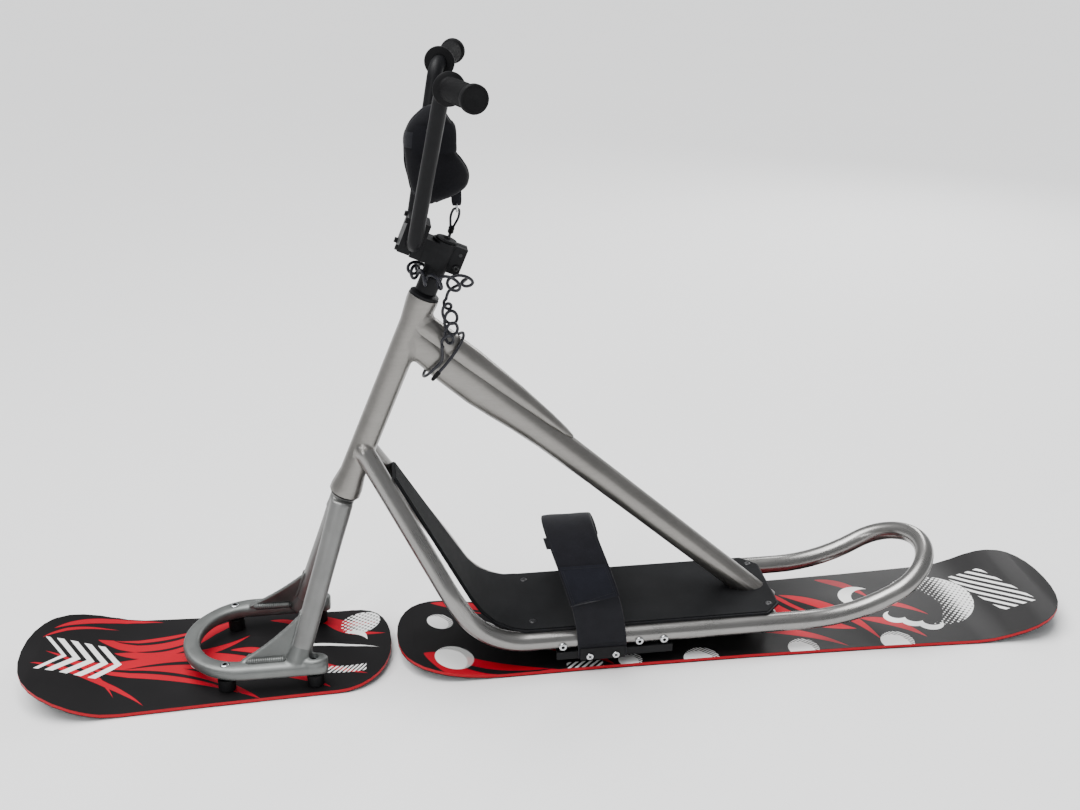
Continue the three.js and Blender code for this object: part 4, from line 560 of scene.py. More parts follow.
def rear_graphics(x, y):
    """Diagonal sweeps, hatched discs, slanted bars and a dotted, barred panel at the tail."""
    red = union(sweep(x, y, *stroke) for stroke in REAR_SWEEPS)
    ink = union(sweep(x, y, *stroke) for stroke in REAR_INK_SWEEPS)
    shapes = []
    for cx, cy, radius in REAR_DISCS:
        plain = disc(x, y, cx - radius * 0.3, cy - radius * 0.25, radius * 0.95)
        hatched = hatch(x, y, slant=1.1, pitch=6.4, share=0.5)
        shapes.append(disc(x, y, cx, cy, radius) * plain.higher(hatched))
    bars = hatch(x, y, slant=-1.0, pitch=12, share=0.5)
    shapes.append(bars * (y + 98).band(0, 8, EDGE_SOFTNESS) * x.band(*REAR_BARS, EDGE_SOFTNESS))
    dots = halftone(x, y, pitch=7.4, radius=((x - 1000) / 60 * 3.9).lower(3.9).higher(1.6))
    shapes.append(disc(x, y, *PANEL) * (1 - disc(x, y, *PANEL_GAP)) * dots)
    shapes.append(petals(x, y, 930, -34, 22, 1.4) * (1 - petals(x, y, 936, -26, 17, 1.6)))
    shapes.append(disc(x, y, *CRESCENT) * (1 - disc(x, y, *CRESCENT_GAP)))
    stripes = hatch(x, y, slant=0.8, pitch=15, share=0.46) * y.band(*TAIL_STRIPES_HALF, EDGE_SOFTNESS)
    shapes.append(stripes * (x + y * 0.35).band(*TAIL_STRIPES, EDGE_SOFTNESS))
    white = union(shapes)
    return red * (1 - ink) * (1 - white), white


MAIN_AXIS = (point(CROSS_TUBE_X, 0, RAIL_HEIGHT) - head_point(0, 0, MAIN_TUBE_UP)).normalized()

SATIN_LIGHT = (0.28, 0.27, 0.254)
SATIN_DARK = (0.155, 0.149, 0.139)
FINISHES = {material.name: material for material in (
    brushed_metal("head_metal", HEAD_AXIS, SATIN_LIGHT, SATIN_DARK, roughness=0.33),
    brushed_metal("main_metal", MAIN_AXIS, SATIN_LIGHT, SATIN_DARK, roughness=0.33),
    brushed_metal("bracket_metal", SIDEWAYS, (0.33, 0.324, 0.312), (0.2, 0.195, 0.187), roughness=0.28),
    tube_metal("rail_metal", (0.3, 0.294, 0.284), (0.17, 0.166, 0.16), roughness=0.27),
    cast_metal("leg_metal", (0.27, 0.272, 0.266), (0.16, 0.162, 0.158)),
    cast_metal("cast_metal", (0.2, 0.209, 0.203), (0.105, 0.11, 0.107)),
    cast_metal("weld_metal", (0.29, 0.281, 0.266), (0.175, 0.169, 0.159)),
    plated_metal("zinc", (0.72, 0.73, 0.74), (0.45, 0.46, 0.475), roughness=0.18),
    plated_metal("ground_steel", (0.5, 0.51, 0.52), (0.32, 0.33, 0.34), roughness=0.3),
    # Painted shade: near-black colour for the insides of screw recesses, where the plated metal lies in
    # shade
    black_finish("painted_recess_shade", (0.02, 0.02, 0.021), (0.008, 0.008, 0.009),
                 roughness=0.6, grain=0.5, depth=0.03, specular=0.2),
    black_finish("bar_paint", (0.0075, 0.0077, 0.0088), (0.0035, 0.0036, 0.0042),
                 roughness=0.45, grain=0.7, depth=0.03, specular=0.13),
    black_finish("anodised", (0.008, 0.0082, 0.0092), (0.0035, 0.0036, 0.0042),
                 roughness=0.42, grain=0.35, depth=0.02, specular=0.14),
    black_finish("plate_black", (0.011, 0.0112, 0.0128), (0.005, 0.0052, 0.006),
                 roughness=0.5, grain=0.6, depth=0.05, specular=0.16),
    black_finish("rubber", (0.0075, 0.0075, 0.008), (0.003, 0.003, 0.0035),
                 roughness=0.6, grain=0.9, depth=0.06, specular=0.12),
    black_finish("base_black", (0.016, 0.016, 0.017), (0.008, 0.008, 0.009),
                 roughness=0.34, grain=1.2, depth=0.02, specular=0.3),
    black_finish("black_screw", (0.02, 0.02, 0.022), (0.009, 0.009, 0.01),
                 roughness=0.34, grain=0.4, depth=0.02, specular=0.4),
    black_finish("thread", (0.016, 0.016, 0.018), (0.007, 0.007, 0.009),
                 roughness=0.6, grain=0.3, depth=0.03, specular=0.2),
    grit_finish(),
    woven_finish("webbing", (0.014, 0.0142, 0.018), (0.004, 0.0042, 0.006), rib=1.6, pick=0.9, sheen=0.12),
    woven_finish("binding", (0.012, 0.012, 0.015), (0.004, 0.004, 0.0055), rib=1.1, pick=0.7, sheen=0.1),
    knit_finish("sleeve_cloth", (0.012, 0.012, 0.0155), (0.004, 0.004, 0.0055),
                size=1.3, sheen=0.12, depth=0.3),
    knit_finish("pile", (0.0125, 0.0132, 0.0185), (0.005, 0.0053, 0.008),
                size=1.0, sheen=0.08, depth=0.4),
    knit_finish("cuff_cloth", (0.009, 0.009, 0.011), (0.0035, 0.0035, 0.0045),
                size=1.2, sheen=0.1, depth=0.25),
    knit_finish("cuff_pile", (0.009, 0.0092, 0.0115), (0.0035, 0.0036, 0.0048),
                size=1.0, sheen=0.05, depth=0.35),
    cord_finish(),
    board_finish("front_print", front_graphics),
    board_finish("rear_print", rear_graphics),
)}

# Which finish and which edge rounding, in millimetres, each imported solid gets
SOLID_FINISH = {
    "head_metal": {"head_tube": 1.2},
    "main_metal": {"main_tube": 0},
    "bracket_metal": {"front_deck_bracket": 0.4, "rear_cross_tube": 0.3},
    "ground_steel": {"lower_bearing": 0.3, "upper_bearing": 0.3, "steerer_tube": 0.3},
    "zinc": {"left_rear_bolts": 0.3, "right_rear_bolts": 0.3},
    "bar_paint": {"handlebar": 0, "crossbar": 0},
    "anodised": {"crown_race": 0.4, "headset_top_cover": 0.6, "spacers": 0.3, "stem_body": 1.2,
                 "stem_face_plate": 0.8, "top_cap": 0.6, "mount_channel": 0.6},
    "plate_black": {"deck_plate": 0.6},
    "grit_sheet": {"grip_sheet": 0.2},
    "rubber": {"left_rubber_strip": 0.8, "right_rubber_strip": 0.8,
               "rubber_mount_front_left": 0.9, "rubber_mount_front_right": 0.9,
               "rubber_mount_back_left": 0.9, "rubber_mount_back_right": 0.9},
    "base_black": {"front_board_base": 0.2, "rear_board_base": 0.2},
    "front_print": {"front_board": 0.5},
    "rear_print": {"rear_board": 0.5},
}


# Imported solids

MERGE_DISTANCE = 0.01
LEAST_ROUNDING = 0.15
FLAT_LIMIT = math.radians(0.6)
EDGE_LIMIT = math.radians(38)


def smoothing_nodes():
    """A node group that joins the loose corners of an imported solid and shades it smooth."""
    group = bpy.data.node_groups.new("joined_and_smooth", "GeometryNodeTree")
    group.interface.new_socket("Geometry", in_out="INPUT", socket_type="NodeSocketGeometry")
    group.interface.new_socket("Geometry", in_out="OUTPUT", socket_type="NodeSocketGeometry")
    start = group.nodes.new("NodeGroupInput")
    merge = group.nodes.new("GeometryNodeMergeByDistance")
    merge.inputs["Distance"].default_value = MERGE_DISTANCE * MM
    drop = group.nodes.new("GeometryNodeRemoveAttribute")
    drop.inputs["Name"].default_value = "custom_normal"
    shade = group.nodes.new("GeometryNodeSetShadeSmooth")
    end = group.nodes.new("NodeGroupOutput")
    chain = [start, merge, drop, shade, end]
    for before, after in zip(chain, chain[1:]):
        group.links.new(before.outputs[0], after.inputs[0])
    return group


JOINED = smoothing_nodes()


def dress_solid(node, finish, rounding):
    """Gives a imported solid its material, smooth faces and rounded edges."""
    obj = FRAME_NODES[node]
    obj.data.materials.clear()
    obj.data.materials.append(FINISHES[finish])
    obj.modifiers.new("joined", "NODES").node_group = JOINED
    flat = obj.modifiers.new("flat", "DECIMATE")
    flat.decimate_type = "DISSOLVE"
    flat.angle_limit = FLAT_LIMIT
    bevel = obj.modifiers.new("rounded", "BEVEL")
    bevel.limit_method = "ANGLE"
    bevel.angle_limit = EDGE_LIMIT
    bevel.width = max(rounding, LEAST_ROUNDING) * MM
    bevel.segments = 2
    bevel.harden_normals = True
    bevel.use_clamp_overlap = True


for finish_name, solids in SOLID_FINISH.items():
    for solid_name, edge in solids.items():
        dress_solid(solid_name, finish_name, edge)


# Making pieces

def placed(name, data):
    """A new object of the scene."""
    obj = bpy.data.objects.new(name, data)
    bpy.context.scene.collection.objects.link(obj)
    return obj


def piece(name, parts, body, finish, uvs=None, crease=PLAIN_CREASE, replaces=(), dark=()):
    """A new mesh from solids of design-frame points, with its body and material.

    Dark faces are recesses, which get painted shade: a near-black material in place of the piece's own
    finish."""
    points, faces = joined(parts)
    mesh = bpy.data.meshes.new(name)
    mesh.from_pydata([to_row(p) for p in points], [], faces)
    mesh.update()
    mesh.polygons.foreach_set("use_smooth", [True] * len(mesh.polygons))
    mesh.set_sharp_from_angle(angle=math.radians(crease))
    if uvs is not None:
        layer = mesh.uv_layers.new(name="millimetres")
        for loop in mesh.loops:
            layer.data[loop.index].uv = uvs[loop.vertex_index]
    mesh.materials.append(FINISHES[finish])
    # Recess faces get the painted shade material
    if dark:
        mesh.materials.append(FINISHES["painted_recess_shade"])
        for index in dark:
            mesh.polygons[index].material_index = 1
    obj = placed(name, mesh)
    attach(obj, body)
    if replaces:
        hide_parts(*replaces)
    return obj


def loft(rings, closed_path=False):
    """Points and faces of a skin over rings of equal length."""
    count = len(rings[0])
    points = [p for ring in rings for p in ring]
    faces = []
    last = len(rings) if closed_path else len(rings) - 1
    for i in range(last):
        a, b = i * count, ((i + 1) % len(rings)) * count
        for k in range(count):
            n = (k + 1) % count
            faces.append((a + k, a + n, b + n, b + k))
    if not closed_path:
        faces.append(tuple(reversed(range(count))))
        faces.append(tuple(range(len(points) - count, len(points))))
    return points, faces


def outward(points, faces):
    """The faces turned so that the closed skin's volume is positive."""
    volume = 0.0
    for face in faces:
        a = Vector(points[face[0]])
        for i in range(1, len(face) - 1):
            volume += a.dot(Vector(points[face[i]]).cross(Vector(points[face[i + 1]])))
    if volume < 0:
        return [tuple(reversed(face)) for face in faces]
    return faces


# Below this sine the path counts as upright
STEEP = 0.5


def ring_at(middle, side, other, reach, rise, sides):
    """Points round a circle or an ellipse in the plane of two directions."""
    return [middle + side * (reach * math.cos(turn)) + other * (rise * math.sin(turn))
            for turn in circle(sides)]


def tube_rings(path, radius, sides, closed):
    """Rings round a path, without twist. radius is a number or a function of the index."""
    count = len(path)
    tangents = []
    for i in range(count):
        before = path[(i - 1) % count] if closed else path[max(i - 1, 0)]
        after = path[(i + 1) % count] if closed else path[min(i + 1, count - 1)]
        tangents.append((after - before).normalized())
    side = Vector((0, 0, 1)).cross(tangents[0])
    if side.length < STEEP:
        side = Vector((1, 0, 0)).cross(tangents[0])
    rings = []
    for i, place in enumerate(path):
        side = (side - tangents[i] * side.dot(tangents[i])).normalized()
        other = tangents[i].cross(side)
        r = radius(i) if callable(radius) else radius
        rings.append(ring_at(place, side, other, r, r, sides))
    return rings


def tube(name, path, radius, sides, body, finish, closed=False, replaces=()):
    """A piece that follows a path. Its UV map counts sides round it and millimetres along it."""
    skin = loft(tube_rings(path, radius, sides, closed), closed_path=closed)
    travelled = [0.0]
    for i in range(1, len(path)):
        travelled.append(travelled[-1] + (path[i] - path[i - 1]).length)
    uvs = [(k, travelled[i]) for i in range(len(path)) for k in range(sides)]
    return piece(name, [skin], body, finish, uvs, SEAM_CREASE, replaces)


def frame_of(axis):
    """The axis at unit length and two directions square to it."""
    axis = Vector(axis).normalized()
    side = axis.orthogonal().normalized()
    return axis, side, axis.cross(side)


def turned_part(profile, place, axis, sides=32):
    """Points and faces of a closed profile of (radius, along) turned about an axis."""
    axis, side, other = frame_of(axis)
    return loft([ring_at(place + axis * step, side, other, radius, radius, sides)
                 for radius, step in profile])


def joined(parts):
    """Several (points, faces) as one, each turned outward."""
    points, faces = [], []
    for part_points, part_faces in parts:
        start = len(points)
        part_faces = outward(part_points, part_faces)
        points += part_points
        faces += [tuple(start + i for i in face) for face in part_faces]
    return points, faces


SCREW_SIDES = 36
SCREW_RINGS = 11


def screws_piece(name, screws, body, finish, replaces=(), others=()):
    """A piece of several screws, whose recesses get painted shade: a near-black material on their wall and
    floor. Other solids come after the screws.
    """
    dark = []
    per_screw = SCREW_SIDES * (SCREW_RINGS - 1) + 2
    for i in range(len(screws)):
        first = i * per_screw
        wall = first + SCREW_SIDES * (SCREW_RINGS - 2)
        # Each screw's recess wall and floor get the painted shade
        dark += [*range(wall, wall + SCREW_SIDES), first + per_screw - 1]
    return piece(name, [*screws, *others], body, finish, None, FINE_CREASE, replaces, dark)


CORNER_STEPS = 3


def rounded_box(low, high, edge):
    """A box with rounded edges, as a loft of rounded rectangles along z."""
    (x0, y0, z0), (x1, y1, z1) = low, high
    corners = ((x1 - edge, y1 - edge, 0), (x0 + edge, y1 - edge, 90),
               (x0 + edge, y0 + edge, 180), (x1 - edge, y0 + edge, 270))

    def rectangle(inset, z):
        reach = edge - inset
        turns = [(cx, cy, math.radians(start + 90 * k / CORNER_STEPS))
                 for cx, cy, start in corners for k in range(CORNER_STEPS + 1)]
        return [point(cx + reach * math.cos(turn), cy + reach * math.sin(turn), z)
                for cx, cy, turn in turns]

    turns = [math.pi / 2 * k / CORNER_STEPS for k in range(CORNER_STEPS + 1)]
    rings = [rectangle(edge * (1 - math.sin(turn)), z0 + edge * (1 - math.cos(turn))) for turn in turns]
    rings += [rectangle(edge * (1 - math.cos(turn)), z1 - edge * (1 - math.sin(turn))) for turn in turns]
    return loft(rings)


CROSS_WAIST = 0.42
CROSS_SHARPNESS = 3
SEAT_SHARE = 0.96
SEAT_STEP = 0.25
RIM_SHARE = 1.35
DOME_RINGS = 4
RECESS_DROP = 0.1
RECESS_TAPER = 0.94


def recess_ring(kind, size, turn):
    """The radius of a hex or cross recess at an angle."""
    if kind == "hex":
        sector = math.pi / 3
        return size / math.cos((turn % sector) - sector / 2)
    return size * (CROSS_WAIST + (1 - CROSS_WAIST) * abs(math.cos(2 * turn)) ** CROSS_SHARPNESS)


def screw(seat, axis, radius, height, shank, length, kind, size, depth, dome):
    """A screw: domed head with a recess above the seat, shank below it."""
    axis, side, other = frame_of(axis)

    def ring(radius_at, step):
        return [seat + axis * step + (side * math.cos(turn) + other * math.sin(turn)) * radius_at(turn)
                for turn in circle(SCREW_SIDES)]

    wall = height * (1 - dome)
    rim = size * RIM_SHARE
    rows = [(shank, -length), (shank, 0), (radius * SEAT_SHARE, 0), (radius, SEAT_STEP), (radius, wall)]
    for k in range(1, DOME_RINGS + 1):
        turn = math.pi / 2 * k / DOME_RINGS
        rows.append((rim + (radius - rim) * math.cos(turn), wall + (height - wall) * math.sin(turn)))
    rings = [ring(lambda _, r=r: r, step) for r, step in rows]
    rings.append(ring(lambda turn: recess_ring(kind, size, turn), height - RECESS_DROP))
    rings.append(ring(lambda turn: recess_ring(kind, size * RECESS_TAPER, turn), height - depth))
    return loft(rings)


# Frame rails: one bent tube from the head tube round the tail and back

ARC_STEP = 4
SHORTEST_STEP = 0.5
ROUND_SIDES = 64
RAIL_SIDES = 48
RAIL_TOP_HALF = 13
RAIL_TOP_UP = 84
SHOULDER_X = 157
SHOULDER_HEIGHT = 150
DECK_BEND_X = 210
LOOP_START_X = 824.6
LOOP_END_X = 971.8
LOOP_END_HEIGHT = 135.6
RAIL_BENDS = [150, 120, 305, RAIL_HALF]
RAIL_SINK = 12
RAIL_DOME = 22
DOME_STEPS = 10
DOME_BLUNTNESS = 0.03
BORE_RADIUS = 18
BORE_START = 20
BORE_END = 160


def rod_part(start, end, start_radius, end_radius, sides=32):
    return turned_part([(start_radius, 0), (end_radius, (end - start).length)], start, end - start, sides)


def drilled(obj, finish, holes, sharp):
    """Cut the holes, keep the result as the object's own mesh, and mark its sharp edges."""
    cutters = []
    for i, (hole_points, hole_faces) in enumerate(holes):
        mesh = bpy.data.meshes.new("hole")
        mesh.from_pydata([to_row(p) for p in hole_points], [], outward(hole_points, hole_faces))
        cutter = placed("hole_%d" % i, mesh)
        drill = obj.modifiers.new("drill", "BOOLEAN")
        drill.operation = "DIFFERENCE"
        drill.solver = "EXACT"
        drill.object = cutter
        cutters.append(cutter)
    shaped = bpy.data.meshes.new_from_object(obj.evaluated_get(bpy.context.evaluated_depsgraph_get()))
    obj.modifiers.clear()
    obj.data = shaped
    shaped.materials.clear()
    shaped.materials.append(FINISHES[finish])
    shaped.polygons.foreach_set("use_smooth", [True] * len(shaped.polygons))
    shaped.set_sharp_from_angle(angle=math.radians(sharp))
    for cutter in cutters:
        bpy.data.objects.remove(cutter)


def bent_path(corners, radii):
    """Places along straight runs joined by arcs; radii has one value for each inner corner."""
    places = [corners[0]]
    for i, radius in enumerate(radii, 1):
        before = (corners[i - 1] - corners[i]).normalized()
        after = (corners[i + 1] - corners[i]).normalized()
        turn = math.pi - before.angle(after)
        reach = radius * math.tan(turn / 2)
        start = corners[i] + before * reach
        middle = corners[i] + (before + after).normalized() * (radius / math.cos(turn / 2))
        arm = start - middle
        axis = (-before).cross(after).normalized()
        count = max(2, round(math.degrees(turn) / ARC_STEP))
        for k in range(count + 1):
            places.append(middle + Quaternion(axis, turn * k / count) @ arm)
    places.append(corners[-1])
    return [p for i, p in enumerate(places) if i == 0 or (p - places[i - 1]).length > SHORTEST_STEP]


def rail_corners(side):
    half = side * RAIL_HALF
    return [head_point(0, side * RAIL_TOP_HALF, RAIL_TOP_UP), point(SHOULDER_X, half, SHOULDER_HEIGHT),
            point(DECK_BEND_X, half, RAIL_HEIGHT), point(LOOP_START_X, half, RAIL_HEIGHT),
            point(LOOP_END_X, half, LOOP_END_HEIGHT)]


def domed_start(path):
    """The path with its start moved back and with close places where the tube rounds off."""
    ahead = (path[1] - path[0]).normalized()
    start = path[0] - ahead * RAIL_SINK
    return [start + ahead * (RAIL_DOME * (i / DOME_STEPS) ** 2) for i in range(DOME_STEPS + 1)] + path[1:]


rail_path = bent_path(rail_corners(-1) + rail_corners(1)[::-1], RAIL_BENDS + RAIL_BENDS[::-1])
rail_path = domed_start(domed_start(rail_path)[::-1])


def rail_radius(i):
    """The rail's radius at a place on its path, rounded off at both ends."""
    end = min((rail_path[i] - rail_path[0]).length, (rail_path[i] - rail_path[-1]).length)
    return RAIL_RADIUS * math.sqrt(1 - (1 - min(1, DOME_BLUNTNESS + end / RAIL_DOME)) ** 2)


frame_rails = tube("frame_rails", rail_path, rail_radius, RAIL_SIDES, "frame",
                   "rail_metal", replaces=("left_side_tube", "right_side_tube", "tail_loop"))
head_bore = rod_part(head_point(0, 0, BORE_START), head_point(0, 0, BORE_END), BORE_RADIUS, BORE_RADIUS,
                     ROUND_SIDES)
drilled(frame_rails, "rail_metal", [head_bore], SEAM_CREASE)


# Blended castings: solids melted together by a voxel skin and smoothing

def blended(name, parts, body, finish, voxel, passes, replaces=(), holes=(), sharp=180):
    """One skin over overlapping solids, smoothed so that they flow into each other, then drilled."""
    obj = piece(name, parts, body, finish, replaces=replaces)
    remesh = obj.modifiers.new("skin", "REMESH")
    remesh.mode = "VOXEL"
    remesh.voxel_size = voxel * MM
    remesh.use_smooth_shade = True
    soften = obj.modifiers.new("soften", "SMOOTH")
    soften.factor = 0.5
    soften.iterations = passes
    drilled(obj, finish, holes, sharp)


def leg_line(side):
    """A fork leg's foot and top."""
    x, half, height = LEG_FOOT
    return point(x, side * half, height), head_point(0, side * LEG_TOP_HALF, LEG_TOP_UP)


# Fork: crown and legs in one skin under a turned collar
FINE_VOXEL = 1.3
FINE_PASSES = 60
COLLAR_UP = -4.1
COLLAR_SIDES = 72
COLLAR_PROFILE = [(17, 0), (19.3, 0), (20, 0.7), (20, 3.8), (19.3, 4.8), (18.6, 5.2), (17, 5.4)]
NECK_UP = -6
NECK_PROFILE = [(17.5, 0), (19.4, 2), (19.8, 7), (19.3, 12), (20.2, 29)]
LEG_PROFILE = [(18.2, 0), (18.1, 24), (17.3, 60), (16.9, 110)]
LEG_END_RADIUS = 16.9
LEG_LAP = 2

collar = turned_part(COLLAR_PROFILE, head_point(0, 0, COLLAR_UP), -HEAD_AXIS, COLLAR_SIDES)
piece("fork_collar", [collar], "steering", "leg_metal", crease=FINE_CREASE)
neck_parts = [turned_part(NECK_PROFILE, head_point(0, 0, NECK_UP), -HEAD_AXIS, ROUND_SIDES)]
for side in (-1, 1):
    foot, top = leg_line(side)
    down = (foot - top).normalized()
    leg_profile = LEG_PROFILE + [(LEG_END_RADIUS, (top - foot).length)]
    neck_parts.append(turned_part(leg_profile, top - down * LEG_LAP, down, ROUND_SIDES))
blended("fork_legs", neck_parts, "steering", "leg_metal", FINE_VOXEL, FINE_PASSES,
        ("fork_crown", "left_fork_leg", "right_fork_leg"))

# Horseshoe: a squarish bar bent to a U, with foot collars, gusset plates and bosses
CAST_VOXEL = 1.8
CAST_PASSES = 8
CAST_SIDES = 40
ARM_HALF = 91
ARM_TOP = 54
ARM_HEIGHT = 25
ARM_WIDTH = 33
ARM_REAR_X = -43
ARM_SQUARENESS = 0.72
ARM_RUN_OUT = 30
# Share of the width behind the end, then width and height as shares
ARM_END_ROWS = ((0, 0.6, 0.75), (0.05, 0.76, 0.87), (0.16, 0.92, 0.96), (0.4, 1, 1))
ARCH_X = -175
ARCH_WIDTH = 27
ARCH_HEIGHT = 20
ARCH_ROUNDING = 0.14
ARCH_STEPS = 28
# Start and end along the leg, then radius at start and end
FOOT_COLLARS = ((4, 15, 22, 20.5), (14, 36, 20.5, 16.2))
GUSSET_FRONT = -178
GUSSET_TOP = 124
GUSSET_HALF = 4.7
GUSSET_SINK = 8
GUSSET_SAG = 5
GUSSET_STEPS = 8
GUSSET_LAP = 2
FRONT_BOLT_X = -204
REAR_BOLT_X = -64
BOSS_LENGTH = 22
BOSS_HALF = 15.5
BOSS_ROWS = ((-6, 1.0), (0, 1.0), (2.6, 0.9), (4, 0.7), (4.4, 0.4))
MOUNT_SEAT = 49
HOLE_CLEARANCE = 0.1
HOLE_TOP = 70
HOLE_RADIUS = 7.6
BOLT_PLACES = [(x, side * math.sqrt(ARM_HALF ** 2 - max(0, ARCH_X - x) ** 2), end, word)
               for x, end in ((FRONT_BOLT_X, "front"), (REAR_BOLT_X, "back")) for side, word in SIDES]


def arm_ring(place, sideways, width, height, power):
    """A squarish section of the bar, as a superellipse."""
    ring = []
    for turn in circle(CAST_SIDES):
        rise = squared(math.sin(turn), power) * height / 2
        across = squared(math.cos(turn), power) * width / 2
        ring.append(point(place.x, place.y, ARM_TOP - ARM_HEIGHT / 2 + rise) + sideways * across)
    return ring


def bar_rings():
    """Sections of the bar, from the left arm's rear end round the arch to the right one's."""
    sideways = point(0, 1, 0)
    rings = []
    for share, width, height in ARM_END_ROWS:
        place = point(ARM_REAR_X - ARM_WIDTH * share, -ARM_HALF, 0)
        rings.append(arm_ring(place, sideways, ARM_WIDTH * width, ARM_HEIGHT * height, ARM_SQUARENESS))
    place = point(ARCH_X + ARM_RUN_OUT, -ARM_HALF, 0)
    rings.append(arm_ring(place, sideways, ARM_WIDTH, ARM_HEIGHT, ARM_SQUARENESS))
    for i in range(ARCH_STEPS + 1):
        turn = math.pi / 2 * i / ARCH_STEPS
        blend = min(1, i / (ARCH_STEPS / 2))
        place = point(ARCH_X - ARM_HALF * math.sin(turn), -ARM_HALF * math.cos(turn), 0)
        rings.append(arm_ring(place, point(math.sin(turn), math.cos(turn), 0),
                              ARM_WIDTH + (ARCH_WIDTH - ARM_WIDTH) * blend,
                              ARM_HEIGHT + (ARCH_HEIGHT - ARM_HEIGHT) * blend,
                              ARM_SQUARENESS - ARCH_ROUNDING * blend))
    mirrored = [[point(p.x, -p.y, p.z) for p in ring] for ring in rings[:-1]][::-1]
    return rings + mirrored


def gusset_part(foot, top):
    """A plate from the arm up to the leg, leaning with the leg."""
    lean = (top.y - foot.y) / (top.z - foot.z)
    slope = (top.x - foot.x) / (top.z - foot.z)
    rear_x = foot.x + (GUSSET_TOP - foot.z) * slope - LEG_RADIUS + GUSSET_LAP
    edge = [(GUSSET_FRONT, ARM_TOP - GUSSET_SINK), (GUSSET_FRONT, ARM_TOP)]
    for i in range(1, GUSSET_STEPS + 1):
        share = i / GUSSET_STEPS
        sag = GUSSET_SAG * math.sin(math.pi * share)
        edge.append((GUSSET_FRONT + (rear_x - GUSSET_FRONT) * share,
                     ARM_TOP + (GUSSET_TOP - ARM_TOP) * share - sag))
    edge += [(foot.x + (GUSSET_TOP - foot.z) * slope, GUSSET_TOP),
             (foot.x + (ARM_TOP - foot.z) * slope, ARM_TOP), (foot.x, ARM_TOP - GUSSET_SINK)]
    return loft([[point(x, foot.y + (z - foot.z) * lean + half, z) for x, z in edge]
                 for half in (-GUSSET_HALF, GUSSET_HALF)])


def boss_part(side):
    """The low boss round the rear bolt."""
    rings = []
    for rise, size in BOSS_ROWS:
        rings.append([point(REAR_BOLT_X + BOSS_LENGTH * size * math.cos(turn),
                            side * ARM_HALF + BOSS_HALF * size * math.sin(turn), ARM_TOP + rise)
                      for turn in circle(CAST_SIDES)])
    return loft(rings)


horseshoe_parts = [loft(bar_rings())]
for side in (-1, 1):
    foot, top = leg_line(side)
    up = (top - foot).normalized()
    for start, end, start_radius, end_radius in FOOT_COLLARS:
        horseshoe_parts.append(rod_part(foot + up * start, foot + up * end, start_radius, end_radius))
    horseshoe_parts += [gusset_part(foot, top), boss_part(side)]
bolt_holes = [rod_part(point(x, y, MOUNT_SEAT - HOLE_CLEARANCE), point(x, y, HOLE_TOP), HOLE_RADIUS,
                       HOLE_RADIUS, CAST_SIDES) for x, y, _, _ in BOLT_PLACES]
blended("horseshoe_casting", horseshoe_parts, "steering", "cast_metal", CAST_VOXEL,
        CAST_PASSES, ("horseshoe",), bolt_holes, ROUND_CREASE)


# Fastenings

def side_box(side, x_span, y_span, z_span, edge):
    """A rounded box on one side of the middle plane; its y span runs outward from that plane."""
    near, far = sorted(side * y for y in y_span)
    return rounded_box((x_span[0], near, z_span[0]), (x_span[1], far, z_span[1]), edge)


# Head radius and height, shank radius and length, then the recess and how domed the head is
RAIL_SCREW = dict(radius=6.8, height=3.9, shank=3, length=38, kind="hex", size=2.7, depth=2.4, dome=0.55)
PLATE_SCREW = dict(radius=6, height=3, shank=2.5, length=16, kind="cross", size=3.6, depth=1.3, dome=0.6)
DECK_SCREW = dict(radius=6.3, height=2.7, shank=3, length=0.2, kind="hex", size=2.2, depth=0.35, dome=0.7)
MOUNT_BOLT = dict(radius=7, height=5, shank=4, length=45.4, kind="hex", size=3.4, depth=3.2, dome=0.3)
CLAMP_BOLT = dict(radius=4.3, height=4.2, shank=2.5, length=26, kind="hex", size=2.2, depth=2.2, dome=0.25)

SEAT_GAP = 0.3
RAIL_OUTER = RAIL_HALF + RAIL_RADIUS
RAIL_SCREW_X = (334, 460, 501)
RAIL_SCREW_HEIGHT = 50
STRIP_SPANS = ((323, 512), (65.3, 69.3), (44.5, 55.5), 0.8)
PLATE_OUTER = 110.8
PLATE_SPANS = ((362, 436), (108.8, PLATE_OUTER), (23.5, 45.5), 0.7)
PLATE_SCREW_HEIGHT = 31
PLATE_SCREW_SHIFTS = (-21.5, 21.5)
for side, word in SIDES:
    strip = side_box(side, *STRIP_SPANS)
    screws = [screw(point(x, side * (RAIL_OUTER + SEAT_GAP), RAIL_SCREW_HEIGHT), (0, side, 0), **RAIL_SCREW)
              for x in RAIL_SCREW_X]
    screws_piece(word + "_rail_fastening", screws, "frame", "zinc",
                 (word + "_rail_screws",), [strip])
    piece(word + "_strap_clamp", [side_box(side, *PLATE_SPANS)], "frame", "anodised",
          crease=FINE_CREASE, replaces=(word + "_strap_plate",))
    screws = [screw(point(STRAP_X + shift, side * PLATE_OUTER, PLATE_SCREW_HEIGHT), (0, side, 0),
                    **PLATE_SCREW) for shift in PLATE_SCREW_SHIFTS]
    screws_piece(word + "_strap_screws", screws, "frame", "zinc")

# Deck screws stand over the plain heads of the solids
DECK_TOP = 73.6
DECK_SCREW_X = (290, 688)
DECK_SCREW_HALF = 64
for x in DECK_SCREW_X:
    screws = [screw(point(x, y, DECK_TOP + SEAT_GAP), (0, 0, 1), **DECK_SCREW)
              for y in (-DECK_SCREW_HALF, DECK_SCREW_HALF)]
    screws_piece("deck_screws_%d" % x, screws, "frame", "black_screw")

# Bolts of the horseshoe, sunk in their recesses
for x, y, end, word in BOLT_PLACES:
    name = "%s_%s" % (end, word)
    bolt = screw(point(x, y, MOUNT_SEAT), (0, 0, 1), **MOUNT_BOLT)
    screws_piece("horseshoe_bolt_" + name, [bolt], "steering", "zinc",
                 ("mount_bolt_" + name,))

